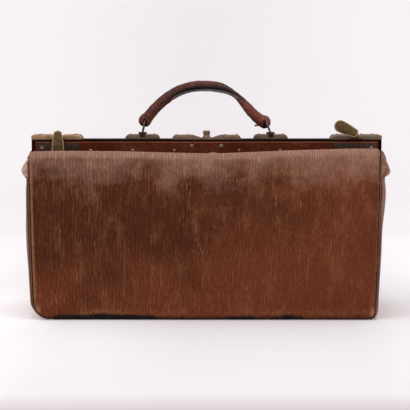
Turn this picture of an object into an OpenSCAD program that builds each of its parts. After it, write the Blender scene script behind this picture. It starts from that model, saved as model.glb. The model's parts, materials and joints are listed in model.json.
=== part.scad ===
// Gladstone bag: a long leather travel bag that opens along its top.
// Two steel jaws turn on a pin at each end; brass plates, two swing catches,
// a sliding lock knob and a rolled handle sit on them.
// X runs along the bag, the front is -Y, Z is up, the origin is the middle of the base.

/* [Body] */
// Height of the leather ridge above the floor
ridge_z = 235; // [225:1:240]
// Half of the depth of the bag at its widest
half_depth = 105; // [100:1:115]
// Height at which the bag is deepest
widest_z = 70; // [50:1:100]
// How far the front leans in at the ridge
lean = 14; // [8:1:16]
// Half of the length of the front panel at the floor
panel_half_bottom = 241.5; // [236:0.5:243]
// Extra half length of the front panel at the ridge
panel_flare = 7; // [5:0.5:8]
// Thickness of the body leather
leather_t = 3; // [2.4:0.1:3.4]
// Height of the turned-up edge of the base
base_edge = 14; // [10:1:18]
// Radius of the upright corners of the body
corner_r = 8; // [7:0.5:10]
// Bulge of each end at the floor
end_bulge = 3; // [2:0.5:4]
// Extra bulge of each end just under the hinge pin
hinge_bulge = 5; // [4.8:0.1:6]
// Radius of the piping along the upright seams
welt_r = 2.6; // [2.2:0.1:2.8]
// Height where the stiff front and back panels end
panel_top = 196; // [190:1:200]
// Height where the stiff ends stop below the hinge pin
gusset_top = 183; // [178:1:183]

/* [Folding leather] */
// Thickness of the leather that folds
fold_t = 2.5; // [2:0.1:2.8]
// Height of the trough between ridge and frame
trough_z = 208.5; // [206:0.5:210]
// Bulge of the puckered leather at each end
pucker = 4.5; // [3:0.5:5]
// Sag of the ridge half way along
ridge_sag = 2; // [0:0.5:3]

/* [Lining] */
// Thickness of the lining cloth
lining_t = 1.2; // [1:0.1:1.5]
// Thickness of the stiffening board in the base
board_t = 3; // [2:0.5:4]
// Distance of the lining from the leather
lining_gap = 4; // [3:0.5:5]
// Height of the lining's top edge
lining_top = 180; // [170:1:181]

/* [Frame] */
// Length of the frame
frame_l = 508; // [506:1:509]
// Height of the frame's top face
frame_z = 252; // [250:1:254]
// Depth of each jaw, front to back
jaw_d = 22.7; // [22:0.1:24]
// Half of the gap between the closed jaws
jaw_gap = 0.3; // [0.2:0.05:0.5]
// Thickness of the frame steel
steel_t = 2; // [1.8:0.1:2.2]
// Height of the upright side of each jaw
flange_h = 24; // [22:1:25]
// Thickness of the leather strip on each jaw
strip_t = 1.2; // [1:0.1:1.4]
// Height of bare steel above the leather strip
steel_band = 4.2; // [4:0.1:5]

/* [Hinge] */
// Height of the hinge pins
pin_z = 190; // [189:0.5:192]
// Radius of the hinge pins
pin_r = 2.5; // [2:0.1:3]
// Running clearance in the hinge eyes
run_gap = 0.05; // [0.03:0.01:0.08]
// Radius of the eye at the end of each arm
eye_r = 7; // [6:0.5:7.5]

/* [Brass plates] */
// Height of the brass plates above the frame
plate_h = 6.5; // [6:0.1:7]
// Length of each end plate
end_plate_l = 72; // [66:1:76]
// Length of each handle plate
handle_plate_l = 50; // [46:1:54]
// Length of the lock plate
lock_plate_l = 100; // [96:1:110]
// Radius of the plate rivets' shanks
shank_r = 1.2; // [1:0.1:1.4]

/* [Catches] */
// Distance of each catch from the end of the frame
catch_in = 39.5; // [37:0.5:43]
// Distance of the catch pin in front of the jaw's face
catch_out = 9; // [8.9:0.1:10]
// Height of the catch pin above the frame
catch_up = 3.5; // [3.4:0.1:4]
// Radius of the catch pin
catch_pin_r = 1.5; // [1.3:0.1:1.6]
// Radius of the catch knuckle
knuckle_r = 2.8; // [2.6:0.1:2.9]
// Width of the notch that the catch turns in
notch_w = 11.7; // [11:0.1:12.5]
// Distance from the catch pin to the paddle rivet
link_l = 6; // [6:0.1:6.5]
// Distance between the two ends of the pear-shaped paddle
paddle_l = 24; // [22:0.5:25]
// Radius of the paddle's round end
paddle_r = 9; // [8.5:0.1:9.5]
// Turn of the left paddle on its rivet, from upright
left_turn = 180; // [110:5:250]
// Turn of the right paddle on its rivet, from upright
right_turn = 65; // [0:5:65]
// Length of the dark plate under each catch, to its screw
face_plate_l = 54; // [48:1:58]
// Half height of the dark plate under each catch
face_plate_r = 6.5; // [6:0.1:7]

/* [Lock] */
// Radius of the lock knob
knob_r = 5.9; // [5:0.1:6]
// Height of the lock knob above the frame
knob_h = 13; // [12:0.5:14]
// Travel of the lock knob
knob_travel = 5; // [4.5:0.1:5]
// Half length of the lock's case
case_half = 28; // [26:0.5:30]
// Height of the lock's case
case_h = 13.9; // [13.5:0.1:14.5]

/* [Handle] */
// Distance of each staple from the middle of the bag
staple_x = 94.2; // [92:0.1:96]
// Half of the inside width of a staple
staple_half = 5.5; // [5.4:0.1:6.5]
// Radius of the staple wire
staple_r = 1.2; // [1:0.1:1.2]
// Height of the staple's bar above the frame
staple_up = 8.7; // [8.7:0.1:9.2]
// Radius of a handle ring, to the middle of its wire
ring_r = 10.5; // [10:0.1:10.6]
// Radius of the ring wire
ring_wire = 1.3; // [1.1:0.1:1.3]
// Lean of the left ring
ring_lean_l = 10; // [0:1:15]
// Lean of the right ring
ring_lean_r = 22; // [0:1:22]
// Rise of the handle above its rings' tops
handle_rise = 55; // [45:1:60]
// Dip of the handle above its right ring
handle_dip = 5; // [0:0.5:5]
// Swing of the handle to either side
handle_turn = 55; // [45:1:55]
// Radius of the handle in the middle
grip_r = 7.6; // [7:0.1:8]
// Radius of the handle where it meets the rings
grip_end_r = 9.2; // [8.5:0.1:9.5]

/* [Hidden] */
$fn = 32;

// Thin gap between parts that face each other
seat = 0.3;
// Small overshoot of a cut past the surface that it opens
over = 1;

half_l = frame_l / 2;
jaw_out = jaw_gap + jaw_d;
flange_z = frame_z - flange_h;
strip_y = jaw_out + strip_t;
strip_top = frame_z - steel_band;
strip_low = flange_z + 1.5;
plate_z = frame_z + plate_h;
plate_in = jaw_gap + 0.3;
plate_out = jaw_out - 0.3;
hinge_gap = 0.2;
tongue_t = 3;
tongue_r = 8;
tongue_x = half_l + 0.6;

catch_x = half_l - catch_in;
catch_pin_y = -(jaw_out + catch_out);
catch_pin_z = frame_z + catch_up;
ear_t = 3.8;
tab_low = knuckle_r + 0.3;
tab_t = 1.9;
rim_low = 4.4;
crown = 6.4;
paddle_wall = 1;
paddle_neck_r = 5.5;

hub_y = (jaw_gap + jaw_out) / 2;
bar_z = frame_z + staple_up;
ring_drop = staple_r + ring_wire + 0.3;
ring_c = ring_r - ring_drop;
ring_slot = 4.15;
lug_half = 1.4;
// Lowest that a ring's wire comes over the lug when the handle lies over
ring_sweep_z = bar_z + ring_c * cos(handle_turn)
  - sqrt(pow(ring_r + ring_wire, 2) - pow(ring_c * sin(handle_turn) - lug_half, 2));
loop_r = 9.5;
left_hub_x = -staple_x;
right_hub_x = staple_x;
left_loop_x = left_hub_x + (ring_c + ring_r) * sin(ring_lean_l);
right_loop_x = right_hub_x - (ring_c + ring_r) * sin(ring_lean_r);
left_loop_z = bar_z + (ring_c + ring_r) * cos(ring_lean_l);
right_loop_z = bar_z + (ring_c + ring_r) * cos(ring_lean_r);

knob_y = -(jaw_gap + 13.2);
stem_r = 2;
case_t = 1.2;
case_top = frame_z - steel_t - 0.1;
case_low = case_top - case_h;
hasp_low = frame_z - 9;
hasp_t = 2;
hasp_half = 9;
hasp_tip = 8;
nose_y = [-6.2, -2.8];
bolt_low = hasp_low - 4.5;

// Half depth of the body at height z
function body_y(z) = z < widest_z
  ? half_depth - 2 * pow((widest_z - z) / widest_z, 2)
  : half_depth - lean * pow((z - widest_z) / (ridge_z - widest_z), 2);
// Half length of the front panel at height z
function panel_x(z) = panel_half_bottom + panel_flare * z / ridge_z;
// Smooth step from 0 to 1 as v runs from a to b
function ease(v, a, b) = let (t = min(1, max(0, (v - a) / (b - a)))) t * t * (3 - 2 * t);
// Distance of the end of the body from the middle, at height z and depth y
function end_x(z, y) = panel_x(z) + 3
  + (end_bulge + hinge_bulge * ease(z, 100, gusset_top - 5)) * (1 - pow(y / body_y(z), 2));
// Numbers from a to b in n equal steps
function steps(a, b, n) = [for (k = [0:n]) a + (b - a) * k / n];
// Joins the rows of a grid into one list of points
function flat_rows(g) = [for (row = g) for (p = row) p];

// Wall between two grids of points that face each other, closed along its edges
module wall(outer, inner) {
  n = len(outer);
  m = len(outer[0]);
  s = n * m;
  face_quads = [for (i = [0:n - 2]) for (j = [0:m - 2])
    [i * m + j, (i + 1) * m + j, (i + 1) * m + j + 1, i * m + j + 1]];
  outside = [for (q = face_quads) for (t = [[q[0], q[1], q[2]], [q[0], q[2], q[3]]]) t];
  inside = [for (q = face_quads) for (t = [[q[0], q[3], q[2]], [q[0], q[2], q[1]]]) [for (v = t) v + s]];
  rim = concat(
    [for (j = [0:m - 2]) [j, j + 1]],
    [for (j = [0:m - 2]) [(n - 1) * m + j + 1, (n - 1) * m + j]],
    [for (i = [0:n - 2]) [(i + 1) * m, i * m]],
    [for (i = [0:n - 2]) [i * m + m - 1, (i + 1) * m + m - 1]]);
  edges = [for (e = rim) for (t = [[e[0], e[1], e[1] + s], [e[0], e[1] + s, e[0] + s]]) t];
  polyhedron(concat(flat_rows(outer), flat_rows(inner)), concat(outside, inside, edges));
}

// Solid skinned over a stack of rings; ring_loop joins the last ring back to the first
module skin(rings, ring_loop = false) {
  n = len(rings);
  m = len(rings[0]);
  last = ring_loop ? n - 1 : n - 2;
  sides = [for (k = [0:last]) for (j = [0:m - 1])
    let (a = k * m + j, b = k * m + (j + 1) % m,
         d = ((k + 1) % n) * m + j, c = ((k + 1) % n) * m + (j + 1) % m)
    for (t = [[a, d, c], [a, c, b]]) t];
  caps = ring_loop ? [] : [[for (j = [0:m - 1]) j],
    [for (j = [0:m - 1]) (n - 1) * m + (m - 1 - j)]];
  polyhedron(flat_rows(rings), concat(sides, caps));
}

// Points of an arc in plan at height z
function arc_pts(cx, cy, r, a0, a1, z) = [for (a = steps(a0, a1, 4)) [cx + r * cos(a), cy + r * sin(a), z]];

// Outline of the body in plan at height z, drawn in by d
function outline(z, d) =
  let (hy = body_y(z) - d, rc = max(corner_r - d, 2), ey = hy - rc,
       ex = end_x(z, ey) - d - rc, mids = [for (k = [1:5]) -ey + 2 * ey * k / 6])
  concat(
    arc_pts(ex, -ey, rc, -90, 0, z),
    [for (y = mids) [end_x(z, y) - d, y, z]],
    arc_pts(ex, ey, rc, 0, 90, z),
    arc_pts(-ex, ey, rc, 90, 180, z),
    [for (y = mids) [-end_x(z, y) + d, -y, z]],
    arc_pts(-ex, -ey, rc, 180, 270, z));

module both_ends() {
  children();
  mirror([1, 0, 0]) children();
}

// The base is a leather pan with rounded lower edges
module base_panel() {
  color("saddlebrown")
  skin(concat(
    [for (a = [0:22.5:90]) [for (p = outline(base_edge, base_edge * (1 - sin(a))))
      [p[0], p[1], base_edge * (1 - cos(a))]]],
    [for (a = [90:-22.5:0]) [for (p = outline(base_edge, leather_t + (base_edge - leather_t) * (1 - sin(a))))
      [p[0], p[1], base_edge - (base_edge - leather_t) * cos(a)]]]));
}

module base_board() {
  in_x = base_edge + leather_t;
  in_y = in_x + 2;
  color("tan")
  translate([-panel_half_bottom + in_x, -half_depth + in_y, leather_t])
  cube([2 * (panel_half_bottom - in_x), 2 * (half_depth - in_y), board_t]);
}

module lining() {
  low = leather_t + board_t + seat;
  side_in = leather_t + lining_gap;
  foot_in = base_edge + 1.5 * lining_gap;
  turn_in = side_in + lining_gap;
  turn_z = low + 0.75 * lining_gap;
  levels = steps(low + 3 * lining_gap, lining_top, 4);
  color("peru")
  skin(concat(
    [outline(low, foot_in)],
    [outline(turn_z, turn_in)],
    [for (z = levels) outline(z, side_in)],
    [for (k = [4:-1:0]) outline(levels[k], side_in + lining_t)],
    [outline(turn_z + lining_t, turn_in + lining_t)],
    [outline(low + lining_t, foot_in)]));
}

// Front wall from the base to the folding leather
module panel_wall() {
  zs = steps(base_edge + seat, panel_top, 9);
  outer = [for (z = zs) [for (u = steps(-1, 1, 10)) [u * (panel_x(z) - 1.4), -body_y(z), z]]];
  inner = [for (row = outer) [for (p = row) [p[0], p[1] + leather_t, p[2]]]];
  wall(outer, inner);
}
module front_panel() {
  color("saddlebrown") panel_wall();
}
module rear_panel() {
  color("saddlebrown") mirror([0, 1, 0]) panel_wall();
}

// One end of the body; its tongue holds the outer end of the hinge pin
module gusset_wall() {
  zs = steps(base_edge + seat, gusset_top, 9);
  edge = 2 * welt_r + 0.7;
  outer = [for (z = zs) [for (u = steps(-1, 1, 12))
    let (y = u * (body_y(z) - edge)) [end_x(z, y), y, z]]];
  inner = [for (row = outer) [for (p = row) [p[0] - leather_t, p[1], p[2]]]];
  difference() {
    union() {
      wall(outer, inner);
      translate([tongue_x, 0, pin_z]) rotate([0, 90, 0]) cylinder(r = tongue_r, h = tongue_t);
      translate([tongue_x, -tongue_r, gusset_top - 4]) cube([tongue_t, 2 * tongue_r, pin_z - gusset_top + 4]);
    }
    translate([tongue_x - over, 0, pin_z]) rotate([0, 90, 0])
      cylinder(r = pin_r + 0.03, h = tongue_t - 0.8 + over);
  }
}
module left_gusset() {
  color("sienna") mirror([1, 0, 0]) gusset_wall();
}
module right_gusset() {
  color("sienna") gusset_wall();
}

// Piping up the two upright seams of one face
module welt_pair() {
  zs = steps(base_edge + seat, panel_top - 2, 7);
  both_ends() skin([for (z = zs) [for (a = [0:45:315])
    [panel_x(z) + 1.5 + welt_r * cos(a), -(body_y(z) - 3) + welt_r * sin(a), z]]]);
}
module front_welts() {
  color("maroon") welt_pair();
}
module rear_welts() {
  color("maroon") mirror([0, 1, 0]) welt_pair();
}

// Section of the folding leather, from the panel over the ridge down to the jaw
shoulder_low = panel_top + seat;
ridge_y = body_y(ridge_z);
shoulder_path = [
  [-body_y(shoulder_low), shoulder_low],
  [-body_y(ridge_z - 20), ridge_z - 20],
  [-body_y(ridge_z - 8), ridge_z - 8],
  [-ridge_y + 1, ridge_z - 1.5],
  [-ridge_y + 4, ridge_z],
  [-ridge_y + 8, ridge_z - 2],
  [-ridge_y + 17, ridge_z - 10],
  [-ridge_y + 32, ridge_z - 20],
  [-42, trough_z + 0.5],
  [-32, trough_z],
  [-27, trough_z + 2.5],
  [-jaw_out - 1.6, trough_z + 8],
  [-jaw_out - 1.4, flange_z - seat]];

// Unit normal of the path at point i, to the inside of the bag
function path_in(path, i) =
  let (a = path[max(0, i - 1)], b = path[min(len(path) - 1, i + 1)], d = b - a)
  [d[1], -d[0]] / norm(d);
// Half length of the folding leather at point i of its section
function shoulder_x(i) =
  let (s = max(0, i - 4) / (len(shoulder_path) - 5)) panel_x(ridge_z) - 1.4 + 3 * s;

module shoulder_wall() {
  n = len(shoulder_path);
  us = steps(-1, 1, 10);
  outer = [for (i = [0:n - 1]) [for (u = us)
    let (p = shoulder_path[i], dip = ridge_sag * (1 - u * u) * ease(i, 0, 4) * (1 - ease(i, 4, 9)))
    [u * shoulder_x(i), p[0], p[1] - dip]]];
  inner = [for (i = [0:n - 1]) [for (j = [0:len(us) - 1])
    let (q = path_in(shoulder_path, i)) outer[i][j] + fold_t * [0, q[0], q[1]]]];
  wall(outer, inner);
}
module front_shoulder() {
  color("sienna") shoulder_wall();
}
module rear_shoulder() {
  color("sienna") mirror([0, 1, 0]) shoulder_wall();
}

// Top edge of the folding leather at each end, by depth y
function fold_top(y) = lookup(abs(y), [
  [0, pin_z + 24], [jaw_out - 2, frame_z - 14], [jaw_out, frame_z - 14], [jaw_out + 2, frame_z - 26],
  [jaw_out + 6, trough_z + 3], [42, trough_z + 3], [60, ridge_z - 18],
  [ridge_y - 12, ridge_z - 6], [ridge_y - 5, ridge_z - 1], [ridge_y, ridge_z - 4]]);

module gusset_fold_wall() {
  low = gusset_top + seat;
  edge = 2 * welt_r + 0.7;
  ys = [for (u = steps(-1, 1, 24)) u * (body_y(low) - edge)];
  outer = [for (f = steps(0, 1, 6)) [for (y = ys)
    let (top = max(low + 8, fold_top(y)), z = low + f * (top - low))
    [end_x(gusset_top, y) + pucker * sin(180 * f) * (1 - pow(y / (half_depth + 5), 2)), y, z]]];
  inner = [for (row = outer) [for (p = row) [p[0] - fold_t, p[1], p[2]]]];
  difference() {
    wall(outer, inner);
    translate([tongue_x - 3, -tongue_r - seat, low - over])
      cube([tongue_t + 3 + seat, 2 * (tongue_r + seat), pin_z + tongue_r + seat - low + over]);
  }
}
module left_gusset_fold() {
  color("peru") mirror([1, 0, 0]) gusset_fold_wall();
}
module right_gusset_fold() {
  color("peru") gusset_fold_wall();
}

// The pin joins the two arms; its inner end is a low head
module hinge_pin() {
  head_x = half_l - 2 * steel_t - 2 * hinge_gap - 1.6;
  translate([head_x, 0, pin_z]) rotate([0, 90, 0]) {
    cylinder(r = 4.5, h = 1.4);
    cylinder(r = pin_r, h = tongue_x + tongue_t - 1 - head_x);
  }
}
module left_hinge_pin() {
  color("silver") mirror([1, 0, 0]) hinge_pin();
}
module right_hinge_pin() {
  color("silver") hinge_pin();
}

face_rivet_x = [47, 107, half_l - 86];
lock_screw_x = 21.5;
face_rivet_z = frame_z - 15.5;
lock_screw_z = frame_z - 9;
plate_screw_x = half_l - 15;
face_plate_z = frame_z - 11.5;

// Hole through a jaw's face, along Y
module face_hole(x, z, r) {
  translate([x, -jaw_out - 6, z]) rotate([-90, 0, 0]) cylinder(r = r, h = 11);
}

// Steel arm from one end of the jaw down to the hinge pin
module arm(x_in) {
  translate([x_in, 0, 0]) difference() {
    union() {
      rotate([90, 0, 90]) linear_extrude(steel_t)
        polygon([[-jaw_out, frame_z], [-jaw_gap, frame_z], [eye_r - 0.4, pin_z + 2.6], [-eye_r, pin_z]]);
      translate([0, 0, pin_z]) rotate([0, 90, 0]) cylinder(r = eye_r, h = steel_t);
    }
    translate([-over, 0, pin_z]) rotate([0, 90, 0])
      cylinder(r = pin_r + run_gap, h = steel_t + 2 * over);
  }
}

// Angle section that runs the length of one jaw, with its lip
module jaw_bar() {
  translate([-half_l, -jaw_out, frame_z - steel_t]) cube([frame_l, jaw_d, steel_t]);
  translate([-half_l, -jaw_out, flange_z]) cube([frame_l, steel_t, flange_h]);
  translate([-half_l, -jaw_out, flange_z]) cube([frame_l, steel_t + 3, 1.5]);
}

module front_frame() {
  color("dimgray")
  difference() {
    union() {
      jaw_bar();
      both_ends() arm(half_l - steel_t);
    }
    both_ends() for (x = face_rivet_x) face_hole(x, face_rivet_z, shank_r + run_gap);
    both_ends() face_hole(lock_screw_x, lock_screw_z, shank_r + run_gap);
    both_ends() face_hole(plate_screw_x, face_plate_z, shank_r + run_gap);
    for (p = front_rivet_xy) top_hole(p[0], -p[1]);
    stem_slot(frame_z - steel_t - over, steel_t + 2 * over);
  }
}

module rear_frame() {
  color("dimgray")
  mirror([0, 1, 0]) difference() {
    union() {
      jaw_bar();
      both_ends() arm(half_l - 2 * steel_t - hinge_gap);
    }
    both_ends() for (x = face_rivet_x) face_hole(x, face_rivet_z, shank_r + run_gap);
    for (p = rear_rivet_xy) top_hole(p[0], -p[1]);
  }
}

// Hole down through the top of a jaw and the plate on it, on the front side
module top_hole(x, y) {
  translate([x, y, frame_z - steel_t - over]) cylinder(r = shank_r + run_gap, h = plate_h + steel_t + 4);
}

// Slot that the stem of the lock knob slides in
module stem_slot(z, h) {
  for (dx = [0, knob_travel]) translate([dx, knob_y, z]) cylinder(r = stem_r + 0.15, h = h);
  translate([0, knob_y - stem_r - 0.15, z]) cube([knob_travel, 2 * stem_r + 0.3, h]);
}

// Leather strip on the face of a jaw
module strip(screw_holes) {
  difference() {
    translate([-half_l + 3, -strip_y, strip_low])
      cube([frame_l - 6, strip_t, strip_top - strip_low]);
    both_ends() for (x = face_rivet_x) face_hole(x, face_rivet_z, shank_r + run_gap);
    if (screw_holes) {
      both_ends() face_hole(lock_screw_x, lock_screw_z, shank_r + run_gap);
      both_ends() face_hole(plate_screw_x, face_plate_z, shank_r + run_gap);
    }
  }
}
module front_frame_cover() {
  color("firebrick") strip(true);
}
module rear_frame_cover() {
  color("firebrick") mirror([0, 1, 0]) strip(false);
}

// Domed rivet through the strip and the steel, closed on the inside
module face_rivet() {
  rotate([90, 0, 0]) rotate_extrude() polygon([
    [0, -steel_t - 0.7], [1.9, -steel_t - 0.7], [1.9, -steel_t], [shank_r, -steel_t],
    [shank_r, strip_t], [2, strip_t], [1.8, strip_t + 0.5], [1, strip_t + 0.85], [0, strip_t + 0.95]]);
}
module face_rivets() {
  both_ends() for (x = face_rivet_x) translate([x, -jaw_out, face_rivet_z]) face_rivet();
}
module front_frame_rivets() {
  color("gainsboro") face_rivets();
}
module rear_frame_rivets() {
  color("gainsboro") mirror([0, 1, 0]) face_rivets();
}

// Places of the rivets on the plates, measured from the ends of the frame and of each plate
end_rivet_x = half_l - 11;
next_rivet_x = half_l - 26;
inner_rivet_x = half_l - end_plate_l + 10;
lock_rivet_x = [lock_plate_l / 2 - 6, lock_plate_l / 2 - 23];
staple_rivet_x = [-handle_plate_l / 2 + 8, handle_plate_l / 2 - 7];
front_rivet_xy = concat(
  [[-end_rivet_x, 11.5], [-inner_rivet_x, 8], [-end_rivet_x, 19.5],
   [end_rivet_x, 11.5], [next_rivet_x, 11.5], [inner_rivet_x, 8]],
  [for (s = [-1, 1]) for (x = lock_rivet_x) [s * x, 11.5]]);
rear_rivet_xy = concat(
  [[-end_rivet_x, 11.5], [-inner_rivet_x, 11.5],
   [end_rivet_x, 11.5], [next_rivet_x, 11.5], [inner_rivet_x, 11.5]],
  [for (s = [-1, 1]) for (dx = staple_rivet_x) [s * (staple_x + dx), hub_y]]);

// Cross section of a plate along its jaw, with a bevelled outer edge
module plate_section(x0, x1) {
  translate([x0, 0, 0]) rotate([90, 0, 90]) linear_extrude(x1 - x0) polygon([
    [-plate_out, frame_z], [-plate_out, plate_z - 1.6], [-plate_out + 0.6, plate_z - 0.5],
    [-plate_out + 1.6, plate_z], [-plate_in - 0.6, plate_z], [-plate_in, plate_z - 0.6],
    [-plate_in, frame_z]]);
}

// Side view of the right end plate, from the end of the frame inwards
module end_plate_side() {
  x0 = half_l + 0.4;
  x1 = half_l - end_plate_l;
  translate([0, over, 0]) rotate([90, 0, 0]) linear_extrude(plate_out + 2 * over) polygon([
    [x0, frame_z], [x0, plate_z - 2], [x0 - 0.6, plate_z - 0.6], [x0 - 2, plate_z],
    [x1 + 4.6, plate_z], [x1 + 2, plate_z - 1.4], [x1, plate_z - 4.3], [x1, frame_z]]);
}

module end_plate_blank() {
  intersection() {
    plate_section(half_l - end_plate_l - over, half_l + over);
    end_plate_side();
  }
}

module catch_notch() {
  translate([catch_x - notch_w / 2, -jaw_out - over, frame_z + 1])
    cube([notch_w, jaw_out + 2 * over, plate_h]);
}

// Ear that carries one end of the catch pin
module ear(x) {
  translate([x, 0, 0]) {
    translate([0, catch_pin_y, catch_pin_z]) rotate([0, 90, 0]) cylinder(r = knuckle_r, h = ear_t);
    translate([0, catch_pin_y, catch_pin_z - 1.2])
      cube([ear_t, -plate_out + 1 - catch_pin_y, knuckle_r + 1.2]);
  }
}

module front_end_plate(rivet_side) {
  difference() {
    union() {
      end_plate_blank();
      ear(catch_x - notch_w / 2 - ear_t);
      ear(catch_x + notch_w / 2);
    }
    catch_notch();
    translate([catch_x - notch_w, catch_pin_y, catch_pin_z]) rotate([0, 90, 0])
      cylinder(r = catch_pin_r + 0.03, h = 2 * notch_w);
    for (p = front_rivet_xy) top_hole(rivet_side * p[0], -p[1]);
  }
}
module rear_end_plate(rivet_side) {
  mirror([0, 1, 0]) difference() {
    end_plate_blank();
    catch_notch();
    for (p = rear_rivet_xy) top_hole(rivet_side * p[0], -p[1]);
  }
}
module front_left_end_plate() {
  color("darkkhaki") mirror([1, 0, 0]) front_end_plate(-1);
}
module front_right_end_plate() {
  color("darkkhaki") front_end_plate(1);
}
module rear_left_end_plate() {
  color("darkkhaki") mirror([1, 0, 0]) rear_end_plate(-1);
}
module rear_right_end_plate() {
  color("darkkhaki") rear_end_plate(1);
}

// Rivet that holds a brass plate, with a low domed head
module plate_rivet() {
  translate([0, 0, frame_z - steel_t]) rotate_extrude() polygon([
    [0, 0], [shank_r, 0], [shank_r, plate_h + steel_t], [2.3, plate_h + steel_t],
    [1.9, plate_h + steel_t + 0.6], [1, plate_h + steel_t + 0.95], [0, plate_h + steel_t + 1.05]]);
}
module front_plate_rivets() {
  color("khaki") for (p = front_rivet_xy) translate([p[0], -p[1], 0]) plate_rivet();
}
module rear_plate_rivets() {
  color("khaki") for (p = rear_rivet_xy) translate([p[0], p[1], 0]) plate_rivet();
}

// Dark plate under each catch, round at its outer end
module face_plate() {
  r = face_plate_r;
  difference() {
    union() {
      translate([plate_screw_x - face_plate_l, -strip_y - 1, face_plate_z - r])
        cube([face_plate_l - 1.5, 1, 2 * r]);
      translate([plate_screw_x - 1.5, -strip_y, face_plate_z]) rotate([90, 0, 0]) cylinder(r = r, h = 1);
    }
    face_hole(plate_screw_x, face_plate_z, shank_r + run_gap);
    translate([plate_screw_x, -strip_y - 1.01, face_plate_z]) rotate([-90, 0, 0])
      cylinder(r1 = 2.45, r2 = shank_r + run_gap, h = 0.96);
  }
}
module left_catch_face_plate() {
  color("darkslategray") mirror([1, 0, 0]) face_plate();
}
module right_catch_face_plate() {
  color("darkslategray") face_plate();
}

// Countersunk screw with a plain slot
module sunk_screw() {
  difference() {
    rotate([90, 0, 0]) rotate_extrude() polygon([
      [0, -steel_t - 1.2], [shank_r, -steel_t - 1.2], [shank_r, strip_t + 0.05],
      [2.35, strip_t + 1], [0, strip_t + 1]]);
    translate([-3, -strip_t - 1.5, -0.3]) cube([6, 1, 0.6]);
  }
}
module catch_plate_screws() {
  color("gainsboro") both_ends()
    translate([plate_screw_x, -jaw_out, face_plate_z]) sunk_screw();
}

module catch_pin() {
  translate([catch_x - notch_w / 2 - ear_t, catch_pin_y, catch_pin_z]) rotate([0, 90, 0])
    cylinder(r = catch_pin_r, h = notch_w + 2 * ear_t);
}
module left_catch_pin() {
  color("silver") mirror([1, 0, 0]) catch_pin();
}
module right_catch_pin() {
  color("silver") catch_pin();
}

module lock_plate() {
  half = lock_plate_l / 2;
  pocket_z = frame_z + steel_t;
  color("darkkhaki")
  difference() {
    intersection() {
      plate_section(-half - over, half + over);
      translate([0, over, 0]) rotate([90, 0, 0]) linear_extrude(plate_out + 2 * over) polygon([
        [-half, frame_z], [-half, plate_z - 4.3], [-half + 2, plate_z - 1.4], [-half + 4.5, plate_z],
        [-20, plate_z], [-8, frame_z + 2.4], [8, frame_z + 2.4], [20, plate_z],
        [half - 4.5, plate_z], [half - 2, plate_z - 1.4], [half, plate_z - 4.3], [half, frame_z]]);
    }
    for (dx = [0, knob_travel]) translate([dx, knob_y, pocket_z]) cylinder(r = knob_r + 0.4, h = plate_h);
    translate([0, knob_y - knob_r - 0.4, pocket_z]) cube([knob_travel, 2 * knob_r + 0.8, plate_h]);
    stem_slot(frame_z - over, steel_t + 2 * over);
    for (p = front_rivet_xy) top_hole(p[0], -p[1]);
  }
}

// Box under the top of the front jaw that the bolt slides in
module lock_case() {
  y_out = -jaw_out + steel_t + 0.1;
  y_in = -jaw_gap - 1;
  color("slategray")
  difference() {
    translate([-case_half, y_out, case_low]) cube([2 * case_half, y_in - y_out, case_top - case_low]);
    translate([-case_half + case_t, y_out + case_t, case_low + case_t])
      cube([2 * (case_half - case_t), y_in - y_out - 2 * case_t, case_top - case_low - 2 * case_t]);
    translate([-hasp_half - 0.5, y_in - case_t - over, hasp_low - 0.5])
      cube([2 * hasp_half + 1, case_t + 2 * over, hasp_t + 2.4]);
    stem_slot(case_top - case_t - over, case_t + 2 * over);
    both_ends() face_hole(lock_screw_x, lock_screw_z, shank_r + run_gap);
  }
}

module lock_screws() {
  color("gainsboro") both_ends() translate([lock_screw_x, -jaw_out, lock_screw_z]) difference() {
    rotate([90, 0, 0]) rotate_extrude() polygon([
      [0, -steel_t - 2.4], [shank_r, -steel_t - 2.4], [shank_r, strip_t],
      [2.7, strip_t], [2.5, strip_t + 0.6], [1.5, strip_t + 1], [0, strip_t + 1.1]]);
    translate([-3, -strip_t - 1.6, -0.35]) cube([6, 1, 0.7]);
  }
}

module lock_knob() {
  foot = frame_z + steel_t + 0.3;
  low = bolt_low + 3;
  top = frame_z + knob_h;
  color("darkkhaki")
  translate([0, knob_y, 0]) rotate_extrude() polygon([
    [0, low], [stem_r, low], [stem_r, foot], [knob_r, foot], [knob_r, foot + 1],
    [knob_r - 1.2, foot + 3], [knob_r - 1, top - 3.4], [knob_r - 0.3, top - 2.6],
    [knob_r - 0.5, top - 1.2], [knob_r - 1.8, top - 0.3], [0, top]]);
}

// Bolt plate with a nose that enters the notch of the hasp
module lock_bolt() {
  color("silver") {
    translate([-14.5, knob_y - stem_r, bolt_low]) cube([14.5 + stem_r, 2 * stem_r, 3]);
    translate([-14.5, knob_y - stem_r, bolt_low]) cube([5, nose_y[1] - knob_y + stem_r, 3]);
    translate([-14.5, nose_y[0], bolt_low]) cube([5, nose_y[1] - nose_y[0], 7.5]);
  }
}

// Tongue on the rear jaw that reaches into the lock case
module lock_hasp() {
  color("silver")
  difference() {
    union() {
      translate([-hasp_half, -hasp_tip, hasp_low]) cube([2 * hasp_half, hasp_tip + 13, hasp_t]);
      translate([-hasp_half, 11, hasp_low]) cube([2 * hasp_half, 2, frame_z - steel_t - hasp_low]);
    }
    translate([-hasp_half - over, nose_y[0] - 0.3, hasp_low - over])
      cube([4.8 + over, nose_y[1] - nose_y[0] + 0.6, hasp_t + 2 * over]);
  }
}

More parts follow.
